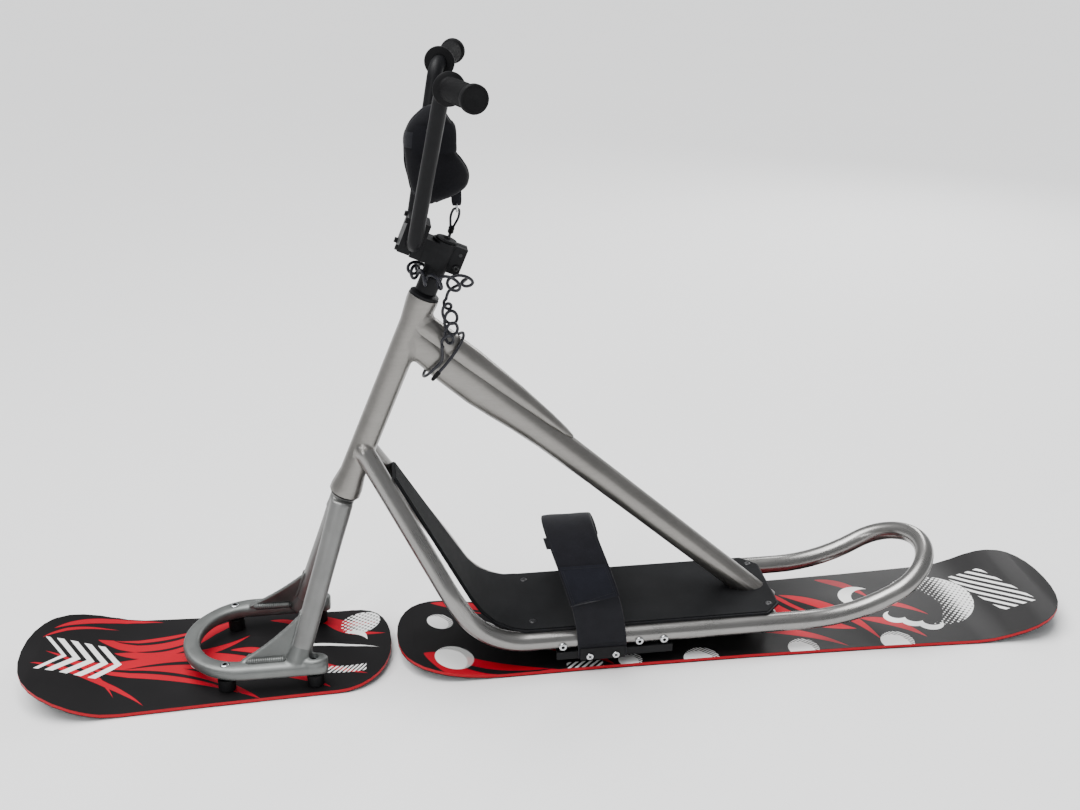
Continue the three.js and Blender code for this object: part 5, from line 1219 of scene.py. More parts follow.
# Pinch bolts of the stem, from opposite sides
PINCH_BEHIND = (34 + 14.3 + 4.2) / 2
PINCH_HALF = 13.3
PINCH_INSET = 11
for up, side, word in ((STEM_BOTTOM + PINCH_INSET, -1, "lower"), (STEM_TOP - PINCH_INSET, 1, "upper")):
    bolt = screw(head_point(PINCH_BEHIND, side * PINCH_HALF, up), (0, side, 0), **CLAMP_BOLT)
    screws_piece(word + "_clamp_bolt", [bolt], "steering", "black_screw",
                 (word + "_pinch_bolt",))

# Grips and end caps, by profiles of radius and distance from the bar's end
GRIP_SIDES = 48
GRIP_BORE = 11.4
GRIP_FLANGE = [(GRIP_BORE, 0.4), (18.2, 0), (18.9, 0.5), (19, 1.2), (19, 3.4), (18.2, 4.2), (16.2, 5)]
GRIP_INNER_FLANGE = [(15.6, 89), (17.5, 90.2), (22.2, 91.8), (23, 92.8), (23, 94.8), (22.3, 95.8),
                     (GRIP_BORE, 96)]
GRIP_CAP = [(2.2, -3.2), (3.2, -3.55), (15.6, -3.75), (16, -4.3), (17.4, -4.3), (18.4, -3.9), (19, -3),
            (19, -0.9), (18.6, -0.3), (8.5, -0.3), (8.4, 12), (7.6, 14)]
FIRST_RIB = 6.0
LAST_RIB = 88.0
RIB_PITCH = 2.7
RIB_SWELL = 0.5
RIB_PROFILE = [(14.9, 0), (15.8, 0.6), (15.8, 1.7), (14.9, 2.2)]


def grip_profile():
    """Outer end first: end flange, rings of ribs, inner flange."""
    profile = list(GRIP_FLANGE)
    count = int((LAST_RIB - FIRST_RIB) / RIB_PITCH)
    for i in range(count):
        start = FIRST_RIB + RIB_PITCH * i
        swell = RIB_SWELL * math.sin(math.pi * i / count)
        profile += [(radius + swell, start + step) for radius, step in RIB_PROFILE]
    return profile + GRIP_INNER_FLANGE


for side, word in SIDES:
    end = CLAMP_CENTRE + point(BAR_SWEEP + GRIP_SWEEP, side * BAR_HALF, BAR_RISE + GRIP_UPSWEEP)
    shoulder = CLAMP_CENTRE + point(BAR_SWEEP, side * BAR_SHOULDER_HALF, BAR_RISE)
    inward = (shoulder - end).normalized()
    points = turned_part(grip_profile(), end, inward, GRIP_SIDES)[0]
    rings = [points[i:i + GRIP_SIDES] for i in range(0, len(points), GRIP_SIDES)]
    piece(word + "_ribbed_grip", [loft(rings, closed_path=True)], "steering", "rubber",
          crease=ROUND_CREASE, replaces=(word + "_grip",))
    piece(word + "_end_cap", [turned_part(GRIP_CAP, end, inward, GRIP_SIDES)], "steering",
          "rubber", crease=FINE_CREASE, replaces=(word + "_bar_plug",))


# Foot strap: two webbings that meet under a padded sleeve

WEBBING_OUTER = 108.5
STRAP_DROP = 93
STRAP_REACH = 105
BAND_ENDS = (0.3, 0.75, 0.95)
BAND_SPREAD = 0.8
BAND_EDGE_POWER = 10
RIPPLE_ACROSS = 26
RIPPLE_ALONG = 34
SLEEVE_SLANT = 7.2
SLEEVE_WAVE = 0.8
SLEEVE = dict(start=18.5, end=ARCH_LENGTH - 12, inner=108.8, outer=115.2, half=41.5, steps=90, columns=28,
              slant=SLEEVE_SLANT, wave=SLEEVE_WAVE, crown=1.2)
FLAP = dict(start=21, end=76, inner=116.2, outer=118, half=38, steps=30,
            slant=SLEEVE_SLANT, wave=SLEEVE_WAVE, crown=0.9)
END_TAB = dict(start=112, end=136, inner=105.0, outer=108.4, half=14, steps=16, columns=8, shift=-34)


def strap_place(t, offset, across):
    """A place on the strap: t is millimetres along it, 0 at the near shoulder."""
    if t < 0:
        y, z = -offset, STRAP_SHOULDER + t
    elif t > ARCH_LENGTH:
        y, z = offset, STRAP_SHOULDER - (t - ARCH_LENGTH)
    else:
        turn = math.pi * t / ARCH_LENGTH
        y = -offset * math.cos(turn)
        z = STRAP_SHOULDER + (STRAP_ARCH + offset - STRAP_INNER) * math.sin(turn)
    rise = z - CHANNEL_TOP
    arch_top = STRAP_SHOULDER + STRAP_ARCH - CHANNEL_TOP
    lean = rise * (LEAN_SHARE + TOP_LEAN_SHARE * max(0, rise) / arch_top)
    return point(STRAP_X + across - lean, y, z)


def flat_section(columns, power):
    """Sideways share from -1 to 1, side of the sheet and thickness share, once round a flat section."""
    section = []
    for layer in (1, -1):
        for k in range(columns + 1):
            share = k / columns if layer > 0 else 1 - k / columns
            a = share * 2 - 1
            section.append((share, a, layer, (1 - abs(a) ** power) ** 0.5 if abs(a) < 1 else 0))
    return section


def band(name, start, end, inner, outer, half, finish, steps=60, columns=16, shift=0.0, slant=0.0,
         wave=0.3, crown=0.0, replaces=()):
    """A flat band along the strap's path, with rounded edges, a crown and slight waves."""
    rings, uvs = [], []
    middle = (inner + outer) / 2
    thickness = outer - inner
    for i in range(steps + 1):
        ends = min(i, steps - i)
        close = BAND_ENDS[ends] if ends < len(BAND_ENDS) else 1
        ring = []
        for _, a, layer, edge in flat_section(columns, BAND_EDGE_POWER):
            across = shift + half * math.copysign(math.sin(abs(a) * math.pi / 2) ** BAND_SPREAD, a)
            lead = start + slant * a
            t = lead + (end - lead) * i / steps
            swell = crown * (1 - a * a) * close if layer > 0 else 0
            ripple = wave * noise.noise(Vector((across / RIPPLE_ACROSS, t / RIPPLE_ALONG, inner)))
            offset = middle + layer * thickness / 2 * edge * close + swell + ripple
            ring.append(strap_place(t, offset, across))
            uvs.append((across, t))
        rings.append(ring)
    return piece(name, [loft(rings)], "frame", finish, uvs, ROUND_CREASE, replaces)


for word, start, end, solid in (("near", -STRAP_DROP, STRAP_REACH, "left_strap"),
                                ("far", ARCH_LENGTH - STRAP_REACH, ARCH_LENGTH + STRAP_DROP, "right_strap")):
    band(word + "_webbing", start, end, STRAP_INNER, WEBBING_OUTER, STRAP_HALF, "webbing",
         replaces=(solid,))
sleeve = band("strap_sleeve", finish="sleeve_cloth", replaces=("strap_pad",), **SLEEVE)
band("strap_flap", finish="pile", **FLAP)
band("strap_end_tab", finish="webbing", **END_TAB)

# Stitches, each a short spindle by shares of its length and radius
STITCH_ROWS = ((-0.5, 0.35), (-0.28, 1), (0.28, 1), (0.5, 0.35))
STITCH_SIDES = 6
STITCH_SIZE = (3.6, 2.3, 0.42)
TACK_SIZE = (2.6, 2.0, 0.4)
FLAP_SEAM = (25, 72, 34)
FLAP_SEAM_OFFSET = 119.0
SEAM_LONG_STEPS = 24
SEAM_SHORT_STEPS = 6
SLEEVE_SEAM_OFFSET = 115.75
SLEEVE_SEAM_STEP = 3
# Start along the strap, place across it and number of steps
SLEEVE_SEAMS = (("front", 24, -37.5, 92), ("rear", 32, 37.5, 89))
TACK_OFFSET = 108.9
TACK_INSET = 26
TACK_HALF = 36
TACK_STEP = 4
TACK_COUNT = 19


def stitches(name, pairs, offset, size):
    """Short raised stitches on the strap along (t, across) pairs; size is pitch, length and radius."""
    pitch, length, radius = size
    line = []
    for t, across in pairs:
        place = strap_place(t, offset, across)
        line.append((place, (strap_place(t, offset + 1, across) - place).normalized()))
    parts = []
    travelled = 0.0
    due = pitch / 2
    for (p, n), (q, _) in zip(line, line[1:]):
        step = (q - p).length
        while travelled + step > due:
            middle = p.lerp(q, (due - travelled) / step)
            direction = (q - p).normalized()
            side = direction.cross(n).normalized()
            parts.append(loft([ring_at(middle + direction * (length * share), side, n, radius * thick,
                                       radius * thick, STITCH_SIDES) for share, thick in STITCH_ROWS]))
            due += pitch
        travelled += step
    piece(name, parts, "frame", "thread")


def flap_seam(start, end, half):
    """Pairs round the flap, whose start edge is slanted like the sleeve's."""
    back = start + SLEEVE_SLANT
    front = start - SLEEVE_SLANT
    pairs = [(front + (end - front) * i / SEAM_LONG_STEPS, -half) for i in range(SEAM_LONG_STEPS + 1)]
    pairs += [(end, -half + 2 * half * i / SEAM_SHORT_STEPS) for i in range(1, SEAM_SHORT_STEPS + 1)]
    pairs += [(end + (back - end) * i / SEAM_LONG_STEPS, half) for i in range(1, SEAM_LONG_STEPS + 1)]
    for i in range(1, SEAM_SHORT_STEPS + 1):
        share = 1 - 2 * i / SEAM_SHORT_STEPS
        pairs.append((start + SLEEVE_SLANT * share, half * share))
    return pairs


stitches("flap_stitches", flap_seam(*FLAP_SEAM), FLAP_SEAM_OFFSET, STITCH_SIZE)
for word, start, across, count in SLEEVE_SEAMS:
    row = [(start + i * SLEEVE_SEAM_STEP, across) for i in range(count)]
    stitches("sleeve_stitches_" + word, row, SLEEVE_SEAM_OFFSET, STITCH_SIZE)
for word, t in (("near", TACK_INSET - STRAP_DROP), ("far", ARCH_LENGTH + STRAP_DROP - TACK_INSET)):
    row = [(t, -TACK_HALF + i * TACK_STEP) for i in range(TACK_COUNT)]
    stitches(word + "_bar_tack", row, TACK_OFFSET, TACK_SIZE)


# Leash: the padded wrist cuff that hangs from the crossbar

CROSSBAR_AT = CLAMP_CENTRE + point(CROSSBAR_SHARE * BAR_SWEEP, 0, CROSSBAR_SHARE * BAR_RISE)
FERRULE_FOOT = head_point(5, 24, STEM_TOP + 8)
LEASH_ROOM = CROSSBAR_AT.z - FERRULE_FOOT.z
CUFF_TOP = CROSSBAR_AT.z + 32
CUFF_BOTTOM = CROSSBAR_AT.z - 0.68 * LEASH_ROOM
TAB_TOP = CROSSBAR_AT.z - 0.55 * LEASH_ROOM
TAB_BOTTOM = CROSSBAR_AT.z - 0.71 * LEASH_ROOM
TAB_X = CROSSBAR_AT.x + 33
CUFF_DEPTH = 86
CUFF_THICKNESS = 46
CUFF_STEPS = 72
CUFF_SIDES = 64
CUFF_CREASE = 70
CUFF_POWER_X = 0.85
CUFF_POWER_Y = 0.8
# Share of the height from the top, then front edge, rear edge and thickness as shares
CUFF_ROWS = (
    (0, 0.03, 0.13, 0.16), (0.03, 0.12, 0.19, 0.42), (0.08, 0.22, 0.25, 0.66), (0.13, 0.31, 0.3, 0.8),
    (0.2, 0.39, 0.365, 0.88), (0.3, 0.44, 0.385, 0.94), (0.43, 0.46, 0.385, 1), (0.49, 0.46, 0.41, 1),
    (0.56, 0.455, 0.5, 1), (0.64, 0.44, 0.58, 1), (0.74, 0.41, 0.6, 0.96), (0.84, 0.37, 0.53, 0.86),
    (0.91, 0.3, 0.37, 0.68), (0.965, 0.18, 0.13, 0.38), (1, 0.1, -0.02, 0.14),
)
# Share of the height, breadth as a share and depth of the creases across the cuff
CUFF_FOLDS = ((0.5, 0.045, 1.3), (0.76, 0.04, 0.9))
SEAM_BREADTH = 0.16
SEAM_DEPTH = 1.1
LUMP_HEIGHT = 1.3
LUMP_SIZE = (22, 16, 24)
LUMP_SHIFT = 7
LUMP_FADE = 1.4
SMALLEST = 1e-6


def between(rows, share):
    """Values of a table of rows at a share, by smooth interpolation."""
    for i in range(len(rows) - 1):
        if share <= rows[i + 1][0]:
            break
    before = rows[max(i - 1, 0)]
    a, b = rows[i], rows[i + 1]
    after = rows[min(i + 2, len(rows) - 1)]
    s = (share - a[0]) / (b[0] - a[0])
    values = []
    for k in range(1, len(a)):
        slope_a = (b[k] - before[k]) / max(b[0] - before[0], SMALLEST) * (b[0] - a[0])
        slope_b = (after[k] - a[k]) / max(after[0] - a[0], SMALLEST) * (b[0] - a[0])
        h = s * s
        values.append((2 * h * s - 3 * h + 1) * a[k] + (h * s - 2 * h + s) * slope_a
                      + (-2 * h * s + 3 * h) * b[k] + (h * s - h) * slope_b)
    return values


def cuff_place(share, turn, swell=0.0):
    """A place on the padded cuff's skin: share down its height, turn round it from the rear."""
    front, rear, thick = between(CUFF_ROWS, share)
    c, s = math.cos(turn), math.sin(turn)
    middle = (rear - front) / 2
    reach = (rear + front) / 2
    x = CROSSBAR_AT.x + CUFF_DEPTH * (middle + reach * squared(c, CUFF_POWER_X)) + swell * c
    y = squared(s, CUFF_POWER_Y) * thick * CUFF_THICKNESS / 2 + swell * s
    z = CUFF_TOP - share * (CUFF_TOP - CUFF_BOTTOM)
    fold = sum(math.exp(-((share - at) / breadth) ** 2) * depth for at, breadth, depth in CUFF_FOLDS)
    seam = math.exp(-(abs(s) / SEAM_BREADTH) ** 2) * SEAM_DEPTH
    size_x, size_y, size_z = LUMP_SIZE
    flank = LUMP_SHIFT if y > 0 else 0
    lump = LUMP_HEIGHT * noise.noise(Vector((x / size_x, y / size_y + flank, z / size_z)))
    inward = -fold * abs(s) - seam + lump * min(1, thick * LUMP_FADE)
    return point(x + inward * c, y + inward * s, z)


cuff_rings = [[cuff_place(i / CUFF_STEPS, turn) for turn in circle(CUFF_SIDES)]
              for i in range(CUFF_STEPS + 1)]
cuff = piece("wrist_cuff", [loft(cuff_rings)], "steering", "cuff_cloth", crease=CUFF_CREASE,
             replaces=("leash_cuff",))

# Binding tape over the cuff's edge, front and rear
TAPE_START = 0.02
TAPE_END = 0.985
TAPE_STEPS = 60
TAPE_SIDES = 14
TAPE_RAISE = 0.4
TAPE_WIDTH = 3.6
TAPE_HEIGHT = 1.5
TAPE_UV = (1.1, 2.2)
for word, turn in (("rear", 0), ("front", math.pi)):
    path = [cuff_place(TAPE_START + (TAPE_END - TAPE_START) * i / TAPE_STEPS, turn, TAPE_RAISE)
            for i in range(TAPE_STEPS + 1)]
    rings = []
    for i, place in enumerate(path):
        tangent = (path[min(i + 1, TAPE_STEPS)] - path[max(i - 1, 0)]).normalized()
        out = tangent.cross(SIDEWAYS).normalized()
        rings.append(ring_at(place, SIDEWAYS, out, TAPE_WIDTH, TAPE_HEIGHT, TAPE_SIDES))
    uvs = [(k * TAPE_UV[0], i * TAPE_UV[1]) for i in range(len(rings)) for k in range(TAPE_SIDES)]
    piece("cuff_binding_" + word, [loft(rings)], "steering", "binding", uvs, SEAM_CREASE)

# Wrap of webbing round the cuff, with its hook-and-loop end
WRAP_COLUMNS = 8
WRAP_EDGE_POWER = 8
WRAP_UV = (150, 30)
FULL_TURN = 2 * math.pi
CUFF_WRAP = dict(low=0.24, high=0.4, start=0, stop=FULL_TURN, swell=0.2, thickness=1.6, steps=64)
CUFF_WRAP_END = dict(low=0.17, high=0.455, start=-2.2, stop=0.9, swell=1.9, thickness=1.8, steps=48)


def wrap(name, finish, low, high, start, stop, swell, thickness, steps):
    """A flat band round the cuff, between two shares of its height and two turns."""
    rings, uvs = [], []
    closed = stop - start == FULL_TURN
    for i in range(steps if closed else steps + 1):
        turn = start + (stop - start) * i / steps
        ring = []
        for share, _, layer, edge in flat_section(WRAP_COLUMNS, WRAP_EDGE_POWER):
            raised = swell + thickness / 2 * (1 + layer * edge)
            ring.append(cuff_place(low + (high - low) * share, turn, raised))
            uvs.append(((high - low) * share * WRAP_UV[0], turn * WRAP_UV[1]))
        rings.append(ring)
    skin = loft(rings, closed_path=closed)
    piece(name, [skin], "steering", finish, uvs, SEAM_CREASE)


wrap("cuff_wrap", "webbing", **CUFF_WRAP)
wrap("cuff_wrap_end", "cuff_pile", **CUFF_WRAP_END)

# Webbing tab with the ring: height, half width and half thickness of each row
TAB_ROWS = ((TAB_TOP, 6.8, 1.0), (TAB_TOP - 3, 7.6, 1.6), (TAB_BOTTOM + 9, 7.6, 1.6),
            (TAB_BOTTOM + 5, 7.2, 1.9), (TAB_BOTTOM + 1.4, 6.4, 1.7), (TAB_BOTTOM, 5.4, 0.8))
TAB_SIDES = 28
TAB_POWER_X = 0.35
TAB_POWER_Y = 0.6
RING_RADIUS = 6.5
RING_WIRE = 1.4
RING_STEPS = 48
RING_SIDES = 16
RING_HOLE = 4.2
tab_rings = [[point(TAB_X + half * squared(math.cos(turn), TAB_POWER_X),
                    thick * squared(math.sin(turn), TAB_POWER_Y), z) for turn in circle(TAB_SIDES)]
             for z, half, thick in TAB_ROWS]
uvs = [(p.x, p.z) for ring in tab_rings for p in ring]
piece("cuff_tab", [loft(tab_rings)], "steering", "webbing", uvs, SEAM_CREASE)

RING_CENTRE = point(TAB_X, 0, TAB_BOTTOM + RING_HOLE) - point(0, 0, RING_RADIUS)
ring_path = [RING_CENTRE + point(0, RING_RADIUS * math.sin(turn), RING_RADIUS * math.cos(turn))
             for turn in circle(RING_STEPS)]
tube("split_ring", ring_path, RING_WIRE, RING_SIDES, "steering", "zinc", closed=True,
     replaces=("leash_ring",))


# Cords

SPLINE_STEPS = 24
KNOT_POWER = 0.5
SHORTEST_CHORD = 1e-4
CORD_SIDES = 12
CURL_STEPS = 24


def share_of(p, q, start, end, t):
    """The place between p at start and q at end."""
    return p * ((end - t) / (end - start)) + q * ((t - start) / (end - start))


def spline(points, count):
    """Centripetal Catmull-Rom through the points, as count + 1 places at equal steps."""
    dense = []
    guide = [points[0] * 2 - points[1]] + list(points) + [points[-1] * 2 - points[-2]]
    for i in range(1, len(guide) - 2):
        p0, p1, p2, p3 = guide[i - 1:i + 3]
        t0 = 0.0
        t1 = t0 + max((p1 - p0).length, SHORTEST_CHORD) ** KNOT_POWER
        t2 = t1 + max((p2 - p1).length, SHORTEST_CHORD) ** KNOT_POWER
        t3 = t2 + max((p3 - p2).length, SHORTEST_CHORD) ** KNOT_POWER
        for k in range(SPLINE_STEPS):
            t = t1 + (t2 - t1) * k / SPLINE_STEPS
            a2 = share_of(p1, p2, t1, t2, t)
            b1 = share_of(share_of(p0, p1, t0, t1, t), a2, t0, t2, t)
            b2 = share_of(a2, share_of(p2, p3, t2, t3, t), t1, t3, t)
            dense.append(share_of(b1, b2, t1, t2, t))
    dense.append(points[-1].copy())
    travelled = [0.0]
    for p, q in zip(dense, dense[1:]):
        travelled.append(travelled[-1] + (q - p).length)
    places, at = [], 0
    for i in range(count + 1):
        target = travelled[-1] * i / count
        while at < len(dense) - 2 and travelled[at + 1] < target:
            at += 1
        share = (target - travelled[at]) / max(travelled[at + 1] - travelled[at], SMALLEST)
        places.append(dense[at].lerp(dense[at + 1], share))
    return places


def curls(guide_points, turns, radius_at, tilt):
    """Curls round a guide curve, tilted along it; the radius is given along it and fades at both ends."""
    total = round(turns * CURL_STEPS)
    guide = spline(guide_points, total)
    places = []
    side = None
    for i in range(total + 1):
        tangent = (guide[min(i + 1, total)] - guide[max(i - 1, 0)]).normalized()
        if side is None:
            side = tangent.cross(SIDEWAYS).normalized()
        side = (side - tangent * side.dot(tangent)).normalized()
        other = tangent.cross(side)
        turn = 2 * math.pi * i / CURL_STEPS
        fade = min(1, i / (CURL_STEPS / 2), (total - i) / (CURL_STEPS / 2))
        radius = radius_at(i / total) * fade
        places.append(guide[i] + side * (radius * math.cos(turn))
                      + (other + tangent * tilt) * (radius * math.sin(turn)))
    return places


# Loop through the ring, closed by its ferrule
FERRULE = [(3.4, 0), (4.3, 0.5), (4.6, 1.4), (4.6, 3.4), (4.1, 3.9), (4.1, 6.6), (4.6, 7.1), (4.6, 9.6),
           (4.3, 10.5), (3.4, 11)]
FERRULE_LENGTH = 11
FERRULE_SIDES = 28
LOOP_HALF = 5.5
LOOP_NECK = 2.2
LOOP_STEPS = 90
LOOP_TOP = RING_CENTRE + point(0, 0, -2)
loop_up = (LOOP_TOP - FERRULE_FOOT).normalized()
ferrule_top = FERRULE_FOOT + loop_up * FERRULE_LENGTH
span = (LOOP_TOP - ferrule_top).length
loop_across = SIDEWAYS.cross(loop_up).normalized()
half_loop = [(-LOOP_HALF, LOOP_NECK), (0, LOOP_NECK), (span / 4, (LOOP_HALF + LOOP_NECK) / 2),
             (span / 2, LOOP_HALF), (span * 3 / 4, LOOP_HALF), (span - LOOP_HALF / 3, LOOP_HALF * 2 / 3)]
loop_places = [ferrule_top + loop_up * a + loop_across * b for a, b in half_loop] + [LOOP_TOP]
loop_places += [ferrule_top + loop_up * a - loop_across * b for a, b in reversed(half_loop)]
tube("cord_loop", spline(loop_places, LOOP_STEPS), LOOP_RADIUS, CORD_SIDES, "steering",
     "cord_sheath", replaces=("leash_loop",))
ferrule = turned_part(FERRULE, FERRULE_FOOT, loop_up, FERRULE_SIDES)
piece("loop_ferrule", [ferrule], "steering", "rubber", crease=FINE_CREASE)

# Upper curly cord: from the ferrule down the stem's far side and curled round the spacers
COVER_TOP = HEAD_LENGTH + 8.3
CROSSING_UP = COVER_TOP + 3.6
CROSSING_BEHIND = 32
WRAP_UP = STEM_BOTTOM - 16.6
WRAP_STEPS = 9
WRAP_RADIUS = 29
WRAP_GROWTH = 21
WRAP_RISE = 15
UPPER_TURNS = 13
UPPER_TILT = -0.9
UPPER_CURL = 8.2
UPPER_GROWTH = 3.3
UPPER_REAR = (0.55, 0.75)
UPPER_FIRST = 0.24
UPPER_LAST = 0.8
UPPER_FADE = 0.05
wrap_points = []
for i in range(WRAP_STEPS + 1):
    turn = math.pi / 2 + math.pi * 3 / 2 * i / WRAP_STEPS
    rear = smoothstep(i / WRAP_STEPS, UPPER_REAR[0], 1)
    radius = WRAP_RADIUS + WRAP_GROWTH * rear
    wrap_points.append(head_point(radius * math.cos(turn), radius * math.sin(turn),
                                  WRAP_UP + WRAP_RISE * rear))
upper_guide = [FERRULE_FOOT - loop_up * 0.6, FERRULE_FOOT - loop_up * 8,
               head_point(7, 28, STEM_TOP - 9), head_point(4, 28, STEM_TOP - 27), *wrap_points,
               head_point(46, 7, CROSSING_UP + 24), head_point(37, 4, CROSSING_UP + 15),
               head_point(CROSSING_BEHIND, 0, CROSSING_UP + 8), head_point(CROSSING_BEHIND, 0, CROSSING_UP)]


def upper_radius(share):
    """Radius of the curls at a share of the upper cord, none outside the curled part."""
    fade = min(1, max(0, min((share - UPPER_FIRST) / UPPER_FADE, (UPPER_LAST - share) / UPPER_FADE)))
    return (UPPER_CURL + UPPER_GROWTH * smoothstep(share, *UPPER_REAR)) * fade


tube("curly_cord_upper", curls(upper_guide, UPPER_TURNS, upper_radius, UPPER_TILT), CORD_RADIUS, CORD_SIDES,
     "steering", "cord_sheath", replaces=("leash_cord_upper",))

# Lower curly cord: looser curls beside the main tube, one turn round it and a sleeved end
LOWER_TURNS = 5
LOWER_TILT = -1.1
LOWER_CURL = 11.5
LOWER_SHRINK = 6.5
LOWER_FADE = 0.35
LOWER_DIP = 0.6
# Behind the head tube's axis, sideways, and above the head tube's upper face
LOWER_GUIDE = ((32, 0, 11), (34, 0, 4), (39, -4, -4), (47, -10, -14), (53, -20, -25), (54, -30, -39),
               (48, -36, -54))
TIE_STEPS = 14
TIE_START = 60
TIE_PITCH = 9
TIE_HALF = 29
TIE_BELOW = 37.5
TIE_ABOVE = 40
TIE_GAP = 6.5
HANG_DROP = 17
HANG_LENGTH = 17
BRIDGE_STEPS = 110
END_SIDES = 24
main_head = head_point(0, 0, MAIN_TUBE_UP)
main_up = MAIN_AXIS.cross(SIDEWAYS).normalized()
if main_up.z < 0:
    main_up = -main_up


def main_tube_point(step, sideways, above):
    return main_head + MAIN_AXIS * step + main_up * above + point(0, sideways, 0)


def lower_radius(share):
    """Radius of the curls at a share of the lower cord."""
    return min(1, share / LOWER_FADE) * (LOWER_CURL - LOWER_SHRINK * share ** 2)


lower_guide = [head_point(behind, sideways, HEAD_LENGTH + up) for behind, sideways, up in LOWER_GUIDE]
lower_curls = curls(lower_guide, LOWER_TURNS, lower_radius, LOWER_TILT)
tie = []
for i in range(TIE_STEPS + 1):
    turn = 2 * math.pi * i / TIE_STEPS
    height = TIE_BELOW if turn < math.pi else TIE_ABOVE
    tie.append(main_tube_point(TIE_START + TIE_PITCH * i / TIE_STEPS, -math.cos(turn) * TIE_HALF,
                               -math.sin(turn) * (height + TIE_GAP)))
hang = main_tube_point(TIE_START + TIE_PITCH, -TIE_HALF, -HANG_DROP)
tip = main_tube_point(TIE_START + TIE_PITCH, -TIE_HALF, -HANG_DROP - HANG_LENGTH)
bridge = spline([lower_curls[-1], *tie, hang], BRIDGE_STEPS)
lower_start = head_point(CROSSING_BEHIND, 0, CROSSING_UP - LOWER_DIP)
tube("curly_cord_lower", [lower_start] + lower_curls[1:-1] + bridge, CORD_RADIUS, CORD_SIDES, "frame",
     "cord_sheath", replaces=("leash_cord_lower",))
end_length = (tip - hang).length
sleeve_profile = [(2.0, -1), (3.0, -0.6), (3.6, 0.4), (3.6, 4), (3.2, 4.5), (3.2, 6), (3.5, 6.5),
                  (3.1, end_length - 3), (2.6, end_length - 0.6), (1.4, end_length)]
end_sleeve = turned_part(sleeve_profile, hang, tip - hang, END_SIDES)
piece("cord_end_sleeve", [end_sleeve], "frame", "rubber", crease=FINE_CREASE)


# Welds

FILLET_COUNT = 180
FILLET_STEPS = 6
FILLET_RIPPLE = 0.12
FILLET_HOLLOW = 0.12
FILLET_RAISE = 0.1
FILLET_SINK = 0.6
RIPPLE_LENGTH = 3
SMOOTHING_ROUNDS = 3
SKIN_STEP = 12
CAST_OUT = 120
CAST_REACH = 119
LANDING_LAP = 2
LANDING_REACH = 60
MISSED_SHARE = 0.6
BEAD_SIDES = 12
BEAD_STEPS = 6
FEWEST_STEPS = 24
BEAD_SWELL = (0.86, 0.16)
BEAD_TIP = 0.15
JOINT_PROFILE = [(20.3, 0), (20.3, 66)]
JOINT_UP = 52
RAIL_END_PROFILE = [(6, -10), (11, -7), (14.3, -2), (15.5, 5), (15.5, 46)]
MAIN_WELD = (62, 8)
CROSS_RADIUS = 12.7
CROSS_WELD = (30, 5)
FOOT_BEAD = (5.6, 3.4)
FOOT_BEAD_STEPS = 6
FOOT_BEAD_INSET = 6
FOOT_BEAD_GAP = 4
FOOT_BEAD_OUT = 2.2
FOOT_BEAD_RAISE = 0.2
RISE_BEAD = (3.0, 2.6)
RISE_BEAD_HEIGHTS = (64, 76, 88, 100, 112, 121)
RISE_BEAD_SINK = 0.3
RISE_BEAD_OUT = 0.6
FORWARD = point(-1, 0, 0)


def tree_of(node):
    """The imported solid's surface, for finding places on it."""
    mesh = FRAME_NODES[node].data
    places = [from_row(v.co) for v in mesh.vertices]
    return BVHTree.FromPolygons(places, [tuple(face.vertices) for face in mesh.polygons])


def smooth(values):
    """Values round a closed row, each eased towards its neighbours."""
    for _ in range(SMOOTHING_ROUNDS):
        values = [(values[i - 1] + values[i] * 2 + values[(i + 1) % len(values)]) / 4
                  for i in range(len(values))]
    return values


def fillet(name, runner, target, centre, axis, back, width):
    """A dressed weld: a concave collar from the runner's skin to the target's, all round the joint.

    The runner is a node's name, or the radius of a plain tube."""
    plain = isinstance(runner, (int, float))
    runner_tree, target_tree = None if plain else tree_of(runner), tree_of(target)
    axis, side, other = frame_of(axis)
    rows = []
    for turn in circle(FILLET_COUNT):
        radial = side * math.cos(turn) + other * math.sin(turn)
        skin = []
        for step in (back, back + SKIN_STEP):
            middle = centre - axis * step
            skin.append(middle + radial * runner if plain
                        else runner_tree.ray_cast(middle + radial * CAST_OUT, -radial, CAST_REACH)[0])
        if None in skin:
            continue
        direction = (skin[0] - skin[1]).normalized()
        place, normal, _, _ = target_tree.ray_cast(skin[0] - direction * LANDING_LAP, direction,
                                                   back + LANDING_REACH)
        if place is None:
            place = skin[0] + axis * (centre - skin[0]).dot(axis)
            landing, normal, _, _ = target_tree.find_nearest(place + direction * width)
            start = place - direction * width * MISSED_SHARE
        else:
            if normal.dot(direction) > 0:
                normal = -normal
            out = (radial - normal * radial.dot(normal)).normalized()
            landing = target_tree.find_nearest(place + out * width)[0]
            start = place - direction * width
        rows.append((start, place, landing, radial, normal))
    rows = list(zip(*[smooth(list(column)) for column in zip(*rows)]))
    around = sum((rows[i][1] - rows[i - 1][1]).length for i in range(len(rows)))
    ripples = round(around / RIPPLE_LENGTH)
    rings = []
    for i, (a, b, c, out, up) in enumerate(rows):
        bisector = (a + c - b * 2).normalized()
        a = a + out * FILLET_RAISE
        c = c + up * FILLET_RAISE
        bend = b + bisector * width * FILLET_HOLLOW
        swell = FILLET_RIPPLE * math.sin(2 * math.pi * ripples * i / len(rows))
        ring = []
        for k in range(FILLET_STEPS + 1):
            s = k / FILLET_STEPS
            place = a * (1 - s) ** 2 + bend * (2 * s * (1 - s)) + c * s ** 2
            ring.append(place + bisector * (swell * math.sin(math.pi * s)))
        ring += [c - up * FILLET_SINK, b - bisector, a - out * FILLET_SINK]
        rings.append(ring)
    piece(name, [loft(rings, closed_path=True)], "frame", "weld_metal",
          crease=ROUND_CREASE)


